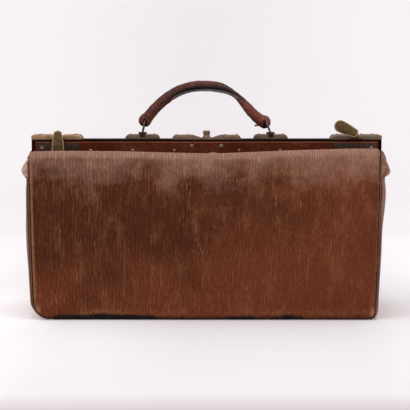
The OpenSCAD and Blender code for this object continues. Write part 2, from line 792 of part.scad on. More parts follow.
// Plate that carries a staple, slotted for the ring
module handle_plate() {
  half = handle_plate_l / 2;
  difference() {
    intersection() {
      mirror([0, 1, 0]) plate_section(staple_x - half - over, staple_x + half + over);
      translate([staple_x, plate_out + over, 0]) rotate([90, 0, 0]) linear_extrude(plate_out + 2 * over)
        polygon([[-half, frame_z], [-half, plate_z - 4.3], [-half + 2, plate_z - 1.4],
          [-half + 4.6, plate_z], [half - 4.6, plate_z], [half - 2, plate_z - 1.4],
          [half, plate_z - 4.3], [half, frame_z]]);
    }
    translate([staple_x - ring_slot, -over, frame_z + 1]) cube([2 * ring_slot, jaw_out + 2 * over, plate_h]);
    for (s = [-1, 1]) translate([staple_x + s * staple_half, hub_y, frame_z - over])
      cylinder(r = staple_r + run_gap, h = plate_h + 2 * over);
    for (s = [-1, 1]) for (p = rear_rivet_xy) mirror([0, 1, 0]) top_hole(s * p[0], -p[1]);
  }
  translate([staple_x - ring_slot - 0.05, hub_y - lug_half, frame_z + 0.9])
    cube([2 * ring_slot + 0.1, 2 * lug_half, ring_sweep_z - seat - frame_z - 0.9]);
}
module left_handle_plate() {
  color("darkkhaki") mirror([1, 0, 0]) handle_plate();
}
module right_handle_plate() {
  color("darkkhaki") handle_plate();
}

// Wire staple that the ring turns on
module staple(x) {
  translate([x, hub_y, 0]) {
    for (s = [-1, 1]) translate([s * staple_half, 0, frame_z]) cylinder(r = staple_r, h = bar_z - frame_z);
    for (s = [-1, 1]) translate([s * staple_half, 0, bar_z]) sphere(r = staple_r);
    translate([-staple_half, 0, bar_z]) rotate([0, 90, 0]) cylinder(r = staple_r, h = 2 * staple_half);
  }
}
module left_staple() {
  color("goldenrod") staple(left_hub_x);
}
module right_staple() {
  color("goldenrod") staple(right_hub_x);
}

// Catch parts are drawn hanging, with the pin's axis at the origin, and stand up on the bag
module catch_link() {
  difference() {
    union() {
      rotate([0, 90, 0]) translate([0, 0, -notch_w / 2 + 0.3]) cylinder(r = knuckle_r, h = notch_w - 0.6);
      translate([-4, 1, -link_l]) cube([8, 2, link_l]);
      translate([0, 3, -link_l]) rotate([90, 0, 0]) cylinder(r = 4, h = 2);
    }
    rotate([0, 90, 0]) translate([0, 0, -notch_w]) cylinder(r = catch_pin_r + run_gap, h = 2 * notch_w);
    translate([0, 3 + over, -link_l]) rotate([90, 0, 0]) cylinder(r = 1.3, h = 4 * over);
  }
}

module catch_rivet() {
  translate([0, 0, -link_l]) rotate([-90, 0, 0]) rotate_extrude() polygon([
    [0, 0.3], [1.9, 0.3], [1.9, 1], [1.3, 1], [1.3, tab_low + tab_t + 0.1],
    [2.4, tab_low + tab_t + 0.1], [2.1, tab_low + tab_t + 0.6], [1.2, crown - 0.4], [0, crown - 0.3]]);
}

// Half width of the pear-shaped paddle at distance d below its rivet
function pear(d) = let (t = max(0, min(1, d / paddle_l)))
  paddle_neck_r + (paddle_r - paddle_neck_r) * sin(90 * t);
// Outline of the paddle, drawn in by g, round its neck, down one side and round its end
function pear_line(g) = concat(
  [for (a = steps(0, 180, 8)) [(paddle_neck_r - g) * cos(a), (paddle_neck_r - g) * sin(a)]],
  [for (d = steps(4, paddle_l - 4, 4)) [-(pear(d) - g), -d]],
  [for (a = steps(180, 360, 14)) [(paddle_r - g) * cos(a), -paddle_l + (paddle_r - g) * sin(a)]],
  [for (d = steps(paddle_l - 4, 4, 4)) [pear(d) - g, -d]]);
// Slab of the paddle's outline, drawn in by g, from depth y0 to y1
module pear_slab(g, y0, y1) {
  translate([0, y1, 0]) rotate([90, 0, 0]) linear_extrude(y1 - y0) polygon(pear_line(g));
}

// Stamped paddle: hollow below, stepped up above, with a flat neck on the rivet
module catch_paddle() {
  neck_z = 3;
  translate([0, 0, -link_l]) difference() {
    union() {
      difference() {
        union() {
          pear_slab(0.3, rim_low, rim_low + 0.4);
          pear_slab(0, rim_low + 0.4, crown - 0.7);
          pear_slab(0.8, crown - 0.7, crown - 0.3);
          pear_slab(1.9, crown - 0.3, crown);
        }
        pear_slab(paddle_wall, rim_low - over, crown - paddle_wall);
        translate([-20, 0, -neck_z]) cube([40, 20, 60]);
      }
      translate([0, tab_low + tab_t, 0]) rotate([90, 0, 0]) cylinder(r = paddle_neck_r, h = tab_t);
      translate([-4, tab_low, -9]) cube([8, tab_t, 9]);
      translate([-4, tab_low, -9]) cube([8, crown - 0.5 - tab_low, 9 - neck_z]);
    }
    translate([0, tab_low + tab_t + over, 0]) rotate([90, 0, 0])
      cylinder(r = 1.3 + run_gap, h = tab_t + 2 * over);
  }
}

module turned_paddle(turn) {
  translate([0, 0, -link_l]) rotate([0, turn, 0]) translate([0, 0, link_l]) catch_paddle();
}

module at_left_catch() {
  translate([-catch_x, catch_pin_y, catch_pin_z]) rotate([180, 0, 0]) children();
}
module at_right_catch() {
  translate([catch_x, catch_pin_y, catch_pin_z]) rotate([180, 0, 0]) children();
}
module left_catch_link() {
  color("darkkhaki") at_left_catch() catch_link();
}
module left_catch_rivet() {
  color("khaki") at_left_catch() catch_rivet();
}
module left_catch_paddle() {
  color("olive") at_left_catch() turned_paddle(left_turn);
}
module right_catch_link() {
  color("darkkhaki") at_right_catch() catch_link();
}
module right_catch_rivet() {
  color("khaki") at_right_catch() catch_rivet();
}
module right_catch_paddle() {
  color("olive") at_right_catch() turned_paddle(right_turn);
}

// Ring leaning from its staple, in the plane of its bar's hinge line
module ring(x, lean_angle, wire) {
  translate([x, hub_y, bar_z]) rotate([0, lean_angle, 0]) translate([0, 0, ring_c])
    rotate([0, 90, 0]) rotate_extrude() translate([ring_r, 0]) circle(r = wire);
}
module left_handle_ring() {
  color("goldenrod") ring(left_hub_x, ring_lean_l, ring_wire);
}
module right_handle_ring() {
  color("goldenrod") ring(right_hub_x, -ring_lean_r, ring_wire);
}

// Leather loop at the end of the handle, holding its ring
module handle_loop(x, z, hub_x, lean_angle) {
  difference() {
    translate([x, hub_y, z]) sphere(r = loop_r);
    ring(hub_x, lean_angle, ring_wire + 0.15);
  }
}
module left_handle_loop() {
  color("sienna") handle_loop(left_loop_x, left_loop_z, left_hub_x, ring_lean_l);
}
module right_handle_loop() {
  color("sienna") handle_loop(right_loop_x, right_loop_z, right_hub_x, -ring_lean_r);
}

arch_power = 2.3;
// Point on the handle's middle line, u from -1 at the left loop to 1 at the right
function arch(u) =
  let (mid_x = (left_loop_x + right_loop_x) / 2,
       foot = left_loop_z + (right_loop_z - left_loop_z) * (u + 1) / 2)
  [mid_x + arch_half * u,
   foot + handle_rise * (1 - pow(abs(u), arch_power)) - handle_dip * exp(-pow((u - 0.77) / 0.1, 2))];
// Direction of the handle's middle line at u
function arch_dir(u) = let (d = arch(min(1, u + 0.01)) - arch(max(-1, u - 0.01))) d / norm(d);
// Ring of points round the middle line at u with radius r
function arch_ring(u, r, m) = let (p = arch(u), t = arch_dir(u))
  [for (k = [0:m - 1]) let (a = 360 * k / m)
    [p[0] - t[1] * r * cos(a), hub_y - r * sin(a), p[1] + t[0] * r * cos(a)]];
// Radius of the handle at u
function grip(u) = grip_r + (grip_end_r - grip_r) * pow(abs(u), 3);

core_r = 5;
arch_half = (right_loop_x - left_loop_x) / 2;
end_slope = handle_rise * arch_power / arch_half;
handle_end = 1 - (loop_r + 2 * seat) / (arch_half * sqrt(1 + end_slope * end_slope));

module handle_core() {
  color("tan") skin([for (u = steps(-handle_end, handle_end, 24)) arch_ring(u, core_r, 12)]);
}
module handle_cover() {
  us = steps(-handle_end, handle_end, 24);
  color("sienna") skin(concat(
    [for (u = us) arch_ring(u, grip(u), 16)],
    [for (k = [24:-1:0]) arch_ring(us[k], core_r + seat, 16)]), true);
}

base_panel();
base_board();
lining();
front_panel();
rear_panel();
left_gusset();
right_gusset();
front_welts();
rear_welts();
front_shoulder();
rear_shoulder();
left_gusset_fold();
right_gusset_fold();
left_hinge_pin();
right_hinge_pin();
front_frame();
front_frame_cover();
front_frame_rivets();
front_left_end_plate();
front_right_end_plate();
front_plate_rivets();
left_catch_face_plate();
right_catch_face_plate();
catch_plate_screws();
left_catch_pin();
right_catch_pin();
lock_plate();
lock_case();
lock_screws();
lock_knob();
lock_bolt();
rear_frame();
rear_frame_cover();
rear_frame_rivets();
rear_left_end_plate();
rear_right_end_plate();
rear_plate_rivets();
left_handle_plate();
right_handle_plate();
left_staple();
right_staple();
lock_hasp();
left_catch_link();
left_catch_rivet();
left_catch_paddle();
right_catch_link();
right_catch_rivet();
right_catch_paddle();
left_handle_ring();
right_handle_ring();
left_handle_loop();
right_handle_loop();
handle_core();
handle_cover();
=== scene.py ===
"""Gladstone bag in worn brown leather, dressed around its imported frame.

Lengths in the classes are millimetres. X runs along the bag, the front is -Y and Z is up.
"""

import json
import logging
import math
from collections.abc import Callable, Sequence
from dataclasses import dataclass, field
from enum import Enum
from typing import ClassVar

import bmesh
import bpy
from mathutils import Matrix, Vector, noise

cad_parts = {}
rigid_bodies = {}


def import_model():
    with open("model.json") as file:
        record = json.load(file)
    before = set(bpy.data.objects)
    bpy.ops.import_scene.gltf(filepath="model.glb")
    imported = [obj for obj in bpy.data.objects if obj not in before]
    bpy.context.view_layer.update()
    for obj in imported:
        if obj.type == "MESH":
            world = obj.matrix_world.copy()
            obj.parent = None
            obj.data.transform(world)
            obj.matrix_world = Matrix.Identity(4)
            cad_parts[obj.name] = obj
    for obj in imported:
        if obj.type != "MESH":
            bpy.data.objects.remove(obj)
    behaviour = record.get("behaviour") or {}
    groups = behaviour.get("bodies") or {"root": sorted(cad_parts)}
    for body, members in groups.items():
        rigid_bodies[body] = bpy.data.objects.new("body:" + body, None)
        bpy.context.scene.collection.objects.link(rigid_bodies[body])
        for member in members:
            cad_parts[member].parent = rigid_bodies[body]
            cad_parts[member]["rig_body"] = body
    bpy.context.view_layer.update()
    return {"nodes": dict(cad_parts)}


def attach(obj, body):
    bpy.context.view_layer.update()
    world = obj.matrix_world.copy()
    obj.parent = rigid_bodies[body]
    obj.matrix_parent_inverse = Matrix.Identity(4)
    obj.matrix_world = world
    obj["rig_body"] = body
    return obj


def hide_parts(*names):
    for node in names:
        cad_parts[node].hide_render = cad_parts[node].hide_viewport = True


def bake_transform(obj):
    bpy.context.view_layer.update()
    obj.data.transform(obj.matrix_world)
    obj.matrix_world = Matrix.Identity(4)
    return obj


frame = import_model()
LOG = logging.getLogger("gladstone_bag")
MM = 0.001
Pair = tuple[float, float]
Triple = tuple[float, float, float]
Tone = tuple[int, int, int]
Place = Callable[[float, float], Vector]
Paint = Callable[[Vector], float]
Socket = bpy.types.NodeSocket
Takes = bpy.types.bpy_prop_collection


class Side(Enum):
    """One end or face of the bag."""
    LEFT = -1
    RIGHT = 1
    FRONT = -2
    REAR = 2

    @property
    def sign(self) -> int:
        """Sign of the side on its own axis."""
        return 1 if self.value > 0 else -1

    @property
    def word(self) -> str:
        """The side as the names of pieces say it."""
        return self.name.lower()

    def pick(self, pair: Sequence) -> object:
        """The side's own one of two values, the left or front one first."""
        return pair[self.sign > 0]


ENDS = (Side.LEFT, Side.RIGHT)
FACES = (Side.FRONT, Side.REAR)


def rgb(tone: Sequence[int]) -> tuple[float, ...]:
    """Linear colour of a screen colour.

    Args:
        tone: red, green and blue from 0 to 255.

    Returns:
        The colour with full alpha.
    """
    shares = [value / 255 for value in tone]
    return (*(c / 12.92 if c <= 0.04045 else ((c + 0.055) / 1.055) ** 2.4 for c in shares), 1.0)


def ease(value: float, low: float, high: float) -> float:
    """Smooth step from 0 at low to 1 at high."""
    share = min(1.0, max(0.0, (value - low) / (high - low)))
    return share * share * (3 - 2 * share)


def fall(value: float, low: float, high: float) -> float:
    """Smooth step from 1 at low to 0 at high."""
    return 1 - ease(value, low, high)


def bell(value: float, middle: float, width: float) -> float:
    """Smooth hump, 1 at its middle."""
    return math.exp(-((value - middle) / width) ** 2)


def rounded(radius: float, inside: float) -> float:
    """How far a rounded corner draws an edge in, at a distance inside the corner."""
    return radius - math.sqrt(max(0.0, radius ** 2 - max(0.0, radius - max(0.0, inside)) ** 2))


def lookup(value: float, table: Sequence[Pair]) -> float:
    """Value of a table of rising keys, with straight lines between them.

    Args:
        value: where to read.
        table: pairs of key and value.

    Returns:
        The value read, held at both ends.
    """
    if value <= table[0][0]:
        return table[0][1]
    for (k0, v0), (k1, v1) in zip(table, table[1:]):
        if value <= k1:
            return v0 + (v1 - v0) * (value - k0) / (k1 - k0)
    return table[-1][1]


def ripple(point: Vector, size: float, seed: float = 0.0) -> float:
    """Even noise from -1 to 1, with swells of a size in millimetres; seed shifts the pattern."""
    return noise.noise(point / size + Vector((seed, seed * 1.7, -seed)))


def rail(keys: Sequence[Pair], count: int) -> list[Pair]:
    """Smooth curve through points, cut into equal lengths.

    Args:
        keys: the points of the curve.
        count: number of lengths.

    Returns:
        count + 1 points.
    """
    pts = [Vector(k) for k in keys]
    ends = [pts[0] * 2 - pts[1], *pts, pts[-1] * 2 - pts[-2]]
    fine: list[Vector] = []
    for a, b, c, d in zip(ends, ends[1:], ends[2:], ends[3:]):
        for t in (k / 12 for k in range(12)):
            fine.append(0.5 * (2 * b + (c - a) * t + (2 * a - 5 * b + 4 * c - d) * t * t
                               + (3 * b - a - 3 * c + d) * t ** 3))
    fine.append(pts[-1])
    run = [0.0]
    for a, b in zip(fine, fine[1:]):
        run.append(run[-1] + (b - a).length)
    out, k = [], 0
    for n in range(count + 1):
        goal = run[-1] * n / count
        while k < len(run) - 2 and run[k + 1] < goal:
            k += 1
        share = (goal - run[k]) / max(run[k + 1] - run[k], 1e-9)
        spot = fine[k].lerp(fine[k + 1], min(1.0, share))
        out.append((spot.x, spot.y))
    return out


@dataclass(frozen=True)
class Mount:
    """What a piece moves with, and what it stands for."""
    body: str
    stands_for: tuple[str, ...] = ()
    other: str = ""
    start: Triple = (0, 0, 0)
    end: Triple = (0, 0, 0)


class MeshShop:
    """Starts, thickens and places meshes."""

    @staticmethod
    def sheet(across: int, along: int, place: Place, centre: Vector) -> bmesh.types.BMesh:
        """Grid laid over a surface.

        Args:
            across, along: number of steps each way.
            place: gives the point in millimetres for two shares from 0 to 1.
            centre: point that the faces look away from.

        Returns:
            The mesh, in metres.
        """
        bm = bmesh.new()
        bmesh.ops.create_grid(bm, x_segments=across, y_segments=along, size=1)
        for v in bm.verts:
            v.co = place((v.co.x + 1) / 2, (v.co.y + 1) / 2) * MM
        bm.normal_update()
        facing = sum((f.calc_center_median() - centre * MM).dot(f.normal) * f.calc_area()
                     for f in bm.faces)
        if facing < 0:
            bmesh.ops.reverse_faces(bm, faces=bm.faces[:])
        return bm

    @staticmethod
    def tube(rings: Sequence[Sequence[Vector]], closed_ends: bool = True) -> bmesh.types.BMesh:
        """Skin over a row of rings.

        Args:
            rings: points in millimetres, the same number in each ring.
            closed_ends: fills the first and last ring.

        Returns:
            The mesh, in metres.
        """
        bm = bmesh.new()
        loop = start = bmesh.ops.create_circle(bm, segments=len(rings[0]), radius=1)["verts"]
        for ring in rings:
            if ring is not rings[0]:
                edges = dict.fromkeys(e for v in loop for e in v.link_edges if e.other_vert(v) in loop)
                new = bmesh.ops.extrude_edge_only(bm, edges=list(edges))["geom"]
                partner = {e.other_vert(v): v for v in new if isinstance(v, bmesh.types.BMVert)
                           for e in v.link_edges if e.other_vert(v) in loop}
                loop = [partner[v] for v in loop]
            for v, p in zip(loop, ring):
                v.co = p * MM
        if closed_ends:
            for end in (start, loop):
                bm.faces.new(end)
        bmesh.ops.recalc_face_normals(bm, faces=bm.faces[:])
        return bm

    @staticmethod
    def keep(bm: bmesh.types.BMesh, name: str) -> bpy.types.Mesh:
        """Turns a mesh under work into a stored one.

        Args:
            bm: the mesh, which is freed.
            name: the stored mesh's name.

        Returns:
            The stored mesh.
        """
        mesh = bpy.data.meshes.new(name)
        bm.to_mesh(mesh)
        bm.free()
        return mesh

    @staticmethod
    def stand(name: str, data: bpy.types.ID) -> bpy.types.Object:
        """Stands an object in the scene.

        Args:
            name: its name.
            data: its mesh, lamp or camera.

        Returns:
            The object.
        """
        obj = bpy.data.objects.new(name, data)
        bpy.context.scene.collection.objects.link(obj)
        return obj

    @staticmethod
    def place(bm: bmesh.types.BMesh, name: str, finish: "Finish", mount: Mount, wall: float = 0,
              paints: dict[str, Paint] | None = None, rounds: int = 0) -> bpy.types.Object:
        """Turns a mesh into a finished piece of the bag.

        Args:
            bm: the mesh, which is freed.
            name: the piece's name.
            finish: its material.
            mount: what it stands for, and the body it moves with unless it names another body, when it stays
                fixed where it is built.
            wall: thickness in millimetres that it gains inwards.
            paints: masks by name, each from a point in millimetres.
            rounds: levels of subdivision.

        Returns:
            The piece.
        """
        obj = MeshShop.stand(name, MeshShop.keep(bm, name))
        if wall:
            solid = obj.modifiers.new("wall", "SOLIDIFY")
            solid.thickness, solid.offset, solid.use_even_offset = wall * MM, -1, False
        if rounds:
            sub = obj.modifiers.new("rounds", "SUBSURF")
            sub.levels = sub.render_levels = rounds
        if obj.modifiers:
            graph = bpy.context.evaluated_depsgraph_get()
            final = bpy.data.meshes.new_from_object(obj.evaluated_get(graph))
            obj.modifiers.clear()
            obj.data = final
            final.name = name
        for key, paint in (paints or {}).items():
            layer = obj.data.attributes.new(key, "FLOAT", "POINT")
            layer.data.foreach_set("value", [paint(v.co / MM) for v in obj.data.vertices])
        obj.data.shade_smooth()
        obj.data.materials.clear()
        obj.data.materials.append(finish.material())
        if mount.other:
            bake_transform(obj)
        else:
            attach(obj, mount.body)
        if mount.stands_for:
            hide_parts(*mount.stands_for)
        LOG.info("%s: %d faces", name, len(obj.data.polygons))
        return obj


class Group(Enum):
    """Shared surface effects: title, inputs besides Vector, and outputs."""
    LEATHER_GRAIN = ("leather_grain", "Across Lines Pebble Waver Relief", "Height Fleck")
    RUBBED = ("rubbed", "Mask Scale Break", "Fac")
    SCRATCHES = ("scratches", "Scale Amount", "Fac")
    TARNISH = ("tarnish", "Scale Amount", "Fac Spots")
    DUST = ("dust", "Scale Amount", "Fac")


@dataclass
class Pad:
    """Lays and joins nodes in one tree."""
    tree: bpy.types.NodeTree

    def feed(self, node: bpy.types.Node, values: dict) -> bpy.types.Node:
        """Sets or links a node's inputs.

        Args:
            node: the node.
            values: numbers, colours or sockets by input name or number.

        Returns:
            The node.
        """
        for key, value in values.items():
            if isinstance(value, Socket):
                self.tree.links.new(value, node.inputs[key])
            else:
                node.inputs[key].default_value = value
        return node

    def node(self, kind: str, inputs: dict | None = None, **settings: object) -> bpy.types.Node:
        """Adds one node.

        Args:
            kind: node type without its ShaderNode prefix.
            inputs: values or sockets by input name or number.
            settings: properties of the node.

        Returns:
            The node.
        """
        made = self.tree.nodes.new("ShaderNode" + kind)
        for key, value in settings.items():
            setattr(made, key, value)
        return self.feed(made, inputs or {})

    def math(self, operation: str, a: object, b: object = 0.0, clamp: bool = False) -> Socket:
        """One sum of two numbers or sockets, with the Math node's name for it."""
        return self.node("Math", {0: a, 1: b}, operation=operation, use_clamp=clamp).outputs[0]

    def plus(self, a: object, b: object) -> Socket:
        """Two numbers or sockets added."""
        return self.math("ADD", a, b)

    def times(self, first: object, *rest: object, clamp: bool = False) -> Socket:
        """Numbers or sockets multiplied in order.

        Args:
            first, rest: the factors.
            clamp: keeps the result from 0 to 1.

        Returns:
            The product's socket.
        """
        for factor in rest:
            first = self.math("MULTIPLY", first, factor, clamp)
        return first

    def span(self, value: object, low: float, high: float, to_low: float = 0.0,
             to_high: float = 1.0) -> Socket:
        """Moves the range from low to high onto another, clamped."""
        return self.node("MapRange", {"Value": value, "From Min": low, "From Max": high,
                                      "To Min": to_low, "To Max": to_high}, clamp=True).outputs[0]

    def mix(self, share: object, a: object, b: object) -> Socket:
        """Mixes two colours; share says how much of b shows."""
        return self.node("Mix", {0: share, 6: a, 7: b}, data_type="RGBA", clamp_result=False).outputs[2]

    def noise(self, vector: object, scale: object, detail: float = 2.0, rough: float = 0.5,
              warp: float = 0.0) -> Socket:
        """Noise value from 0 to 1, with scale in cells to a metre."""
        return self.node("TexNoise", {"Vector": vector, "Scale": scale, "Detail": detail,
                                      "Roughness": rough, "Distortion": warp}).outputs["Fac"]

    def mapped(self, vector: object, scale: Triple, turn: float = 0.0) -> Socket:
        """Coordinates stretched on each axis and turned about Y by degrees."""
        return self.node("Mapping", {"Vector": vector, "Scale": scale,
                                     "Rotation": (0, math.radians(turn), 0)}).outputs[0]

    def mask(self, name: str) -> Socket:
        """Reads a mask painted on the mesh."""
        return self.node("Attribute", attribute_name=name).outputs["Fac"]

    def bump(self, height: Socket, depth: float, strength: float = 1.0) -> Socket:
        """Normal of a relief of some depth in metres."""
        return self.node("Bump", {"Strength": strength, "Distance": depth, "Height": height}).outputs[0]

    def seen(self) -> Socket:
        """1 for rays of the camera, of mirrors and of glass, else 0."""
        rays = self.node("LightPath").outputs
        return self.math("MAXIMUM", rays["Is Camera Ray"],
                         self.math("MAXIMUM", rays["Is Glossy Ray"], rays["Is Transmission Ray"]))

    def effect(self, which: Group, at: Socket, **values: object) -> Takes:
        """Places a shared effect at coordinates and returns its outputs."""
        return self.node("Group", {"Vector": at, **values}, node_tree=GroupShelf.get(which)).outputs

    def rubbed(self, at: Socket, mask: str, scale: float, ragged: float) -> Socket:
        """Share of a painted mask, broken up as real wear is."""
        return self.effect(Group.RUBBED, at, Mask=self.mask(mask), Scale=scale, Break=ragged)["Fac"]


class GroupShelf:
    """Builds each shared effect once. Each builder gives sockets by output name."""
    made: dict[Group, bpy.types.NodeTree] = {}

    @classmethod
    def get(cls, which: Group) -> bpy.types.NodeTree:
        """Builds the effect on first use.

        Args:
            which: the effect.

        Returns:
            The effect's node group.
        """
        if which not in cls.made:
            title, takes, gives = which.value
            tree = bpy.data.node_groups.new(title, "ShaderNodeTree")
            for way, names in (("INPUT", f"Vector {takes}"), ("OUTPUT", gives)):
                for name in names.split():
                    kind = "NodeSocketVector" if name == "Vector" else "NodeSocketFloat"
                    tree.interface.new_socket(name=name, in_out=way, socket_type=kind)
            build = {Group.LEATHER_GRAIN: cls._grain, Group.RUBBED: cls._rubbed, Group.DUST: cls._dust,
                     Group.SCRATCHES: cls._scratches, Group.TARNISH: cls._tarnish}[which]
            source, sink = tree.nodes.new("NodeGroupInput"), tree.nodes.new("NodeGroupOutput")
            Pad(tree).feed(sink, build(Pad(tree), source.outputs))
            cls.made[which] = tree
        return cls.made[which]

    @staticmethod
    def _grain(pad: Pad, take: Takes) -> dict[str, Socket]:
        """Embossed ribs that waver, fork and break off, over fine pebbling.

        Args:
            pad: the group's tree.
            take: the group's inputs.

        Returns:
            Sockets by output name.
        """
        at = take["Vector"]
        swing = pad.noise(pad.mapped(at, (1.0, 1.0, 0.5)), 28.0, 1.0)
        twitch = pad.noise(pad.mapped(at, (1.0, 1.0, 0.28)), 150.0, 2.0, 0.6)
        bend = pad.plus(pad.times(pad.math("SUBTRACT", swing, 0.5), 14.0),
                        pad.times(pad.math("SUBTRACT", twitch, 0.5), 7.0))
        turn = pad.times(take["Across"], take["Lines"], math.tau)
        rib = pad.span(pad.math("SINE", pad.plus(turn, pad.times(bend, take["Waver"]))), -1.0, 1.0)
        lengths = pad.noise(pad.mapped(at, (1.0, 1.0, 0.36)), 400.0, 2.0, 0.6)
        lines = pad.times(rib, pad.span(lengths, 0.38, 0.60, 0.2, 1.0))
        cells = pad.node("TexVoronoi", {"Vector": at, "Scale": take["Pebble"]},
                         feature="F1").outputs["Distance"]
        both = pad.plus(pad.times(pad.span(cells, 0.0, 0.75), -0.4), lines)
        return {"Height": pad.times(both, take["Relief"]), "Fleck": pad.span(lines, 0.18, 0.92)}

    @staticmethod
    def _rubbed(pad: Pad, take: Takes) -> dict[str, Socket]:
        """Breaks a smooth mask up as real wear does."""
        patch = pad.math("SUBTRACT", pad.noise(take["Vector"], take["Scale"], 4.0, 0.65), 0.5)
        return {"Fac": pad.span(pad.plus(take["Mask"], pad.times(patch, take["Break"])), 0.15, 0.85)}

    @staticmethod
    def _scratches(pad: Pad, take: Takes) -> dict[str, Socket]:
        """Fine crossing scratches.

        Args:
            pad: the group's tree.
            take: the group's inputs.

        Returns:
            Sockets by output name.
        """
        total = None
        for turn, stretch in ((18.0, 0.05), (-52.0, 0.07), (80.0, 0.06)):
            at = pad.mapped(take["Vector"], (1.0, 1.0, stretch), turn)
            thin = pad.span(pad.noise(at, take["Scale"], 1.0, 0.5, 0.3), 0.70, 0.76)
            total = thin if total is None else pad.math("MAXIMUM", total, thin)
        return {"Fac": pad.times(total, take["Amount"], clamp=True)}

    @staticmethod
    def _tarnish(pad: Pad, take: Takes) -> dict[str, Socket]:
        """Cloudy tarnish with darker spots.

        Args:
            pad: the group's tree.
            take: the group's inputs.

        Returns:
            Sockets by output name.
        """
        cloud = pad.noise(take["Vector"], take["Scale"], 5.0, 0.62, 0.4)
        spots = pad.noise(take["Vector"], 900.0, 2.0, 0.6)
        return {"Fac": pad.times(pad.span(cloud, 0.36, 0.62), take["Amount"], clamp=True),
                "Spots": pad.times(pad.span(spots, 0.60, 0.72), take["Amount"], clamp=True)}

    @staticmethod
    def _dust(pad: Pad, take: Takes) -> dict[str, Socket]:
        """Thin uneven dust."""
        film = pad.noise(take["Vector"], take["Scale"], 6.0, 0.7)
        return {"Fac": pad.times(pad.span(film, 0.40, 0.70), take["Amount"], clamp=True)}


@dataclass(frozen=True)
class Finish:
    """A material that is built on first use."""
    title: str
    slot_as: str = field(default="", kw_only=True)
    store: ClassVar[dict] = {}

    @property
    def slot(self) -> str:
        """Name given for the finish's slot: its slot_as, else its title."""
        return self.slot_as or self.title

    def material(self) -> bpy.types.Material:
        """Builds the material on first use.

        Returns:
            The finish's material.
        """
        if self not in self.store:
            mat = bpy.data.materials.new(self.title)
            mat.use_nodes = True
            pad = Pad(mat.node_tree)
            values = self.lay(pad, pad.node("TexCoord").outputs["Object"])
            pad.feed(mat.node_tree.nodes["Principled BSDF"], values)
            self.store[self] = mat
        return self.store[self]

    def lay(self, pad: Pad, at: Socket) -> dict[str, object]:
        """Lays the finish's nodes.

        Args:
            pad: the material's tree.
            at: object coordinates.

        Returns:
            What goes into the shader, by input name.
        """
        raise NotImplementedError


@dataclass(frozen=True)
class Leather(Finish):
    """Worn vegetable-tanned leather."""
    dark: Tone
    mid: Tone
    light: Tone
    worn: Tone
    # Paler tone under the ridge, which also paints the sheen and the highlight of the light from above there.
    faded: Tone = (146, 108, 92)
    # Near-black tone of blackening, which also paints shade along bottom edges and hems and on the handle.
    sooty: Tone = (24, 20, 22)
    pebble: float = 700.0
    lines: float = 300.0
    across: Triple = (1.0, 0.0, 0.0)
    spread: float = 0.0
    waver: float = 1.0
    relief: float = 1.0
    depth: float = 0.0003
    rough: Pair = (0.50, 0.70)
    gloss: float = 0.22
    fleck: float = 0.30
    masks: tuple[str, ...] = ()

    def lay(self, pad: Pad, at: Socket) -> dict[str, object]:
        """Lays the leather's nodes.

        Args:
            pad: the material's tree.
            at: object coordinates.

        Returns:
            What goes into the shader, by input name.
        """
        light, worn = rgb(self.light), rgb(self.worn)
        across = pad.node("VectorMath", {0: at, 1: self.across}, operation="DOT_PRODUCT").outputs["Value"]
        if self.spread:
            across = pad.plus(across, pad.times(across, across, self.spread))
        grain = pad.effect(Group.LEATHER_GRAIN, at, Across=across, Lines=self.lines, Pebble=self.pebble,
                           Waver=self.waver, Relief=self.relief)
        big = pad.noise(at, 9.0, 3.0, 0.55, 0.4)
        small = pad.noise(pad.mapped(at, (1.0, 1.0, 0.4)), 60.0, 4.0, 0.65)
        if "tide" in self.masks:
            big = pad.plus(pad.times(big, 0.7), pad.times(pad.mask("tide"), 0.3))
        depth = pad.span(big, 0.34, 0.64)
        tone = pad.mix(depth, rgb(self.dark), rgb(self.mid))
        tone = pad.mix(pad.times(pad.span(small, 0.50, 0.74), 0.35), tone, light)
        fleck = pad.times(grain["Fleck"], pad.span(small, 0.30, 0.62, 0.45, 1.25))
        share = pad.times(fleck, pad.span(depth, 0.0, 1.0, 0.56 * self.fleck, self.fleck))
        tone = pad.mix(share, tone, light)
        rough = pad.span(small, 0.3, 0.7, *self.rough)
        # Paler zone under the ridge: paler leather, with a painted sheen and a painted highlight of the light
        # from above.
        if "fade" in self.masks:
            fade = pad.rubbed(at, "fade", 38.0, 0.9)
            tone = pad.mix(pad.times(fade, pad.span(fleck, 0.0, 1.0, 0.55, 0.95)), tone, rgb(self.faded))
            rough = pad.plus(rough, pad.times(fade, 0.10))
        # Worn tone; on the gathered ends, the grip's underside and the strips' bead it also paints
        # highlights.
        if "wear" in self.masks:
            tone = pad.mix(pad.times(pad.rubbed(at, "wear", 260.0, 1.1), 0.85), tone, worn)
        if "rub" in self.masks:
            crests = pad.span(grain["Fleck"], 0.25, 0.75, 0.12, 1.0)
            tone = pad.mix(pad.times(pad.mask("rub"), crests), tone, worn)
        # Near-black streaks and dirt, with painted shade along bottom edges, hems, the grip's lower side and
        # the loops.
        if "soot" in self.masks:
            tone = pad.mix(pad.rubbed(at, "soot", 90.0, 1.2), tone, rgb(self.sooty))
        scars = pad.effect(Group.SCRATCHES, at, Scale=260.0, Amount=0.25)["Fac"]
        return {"Base Color": pad.mix(scars, tone, light), "Roughness": rough,
                "Normal": pad.bump(grain["Height"], self.depth), "Specular IOR Level": self.gloss}


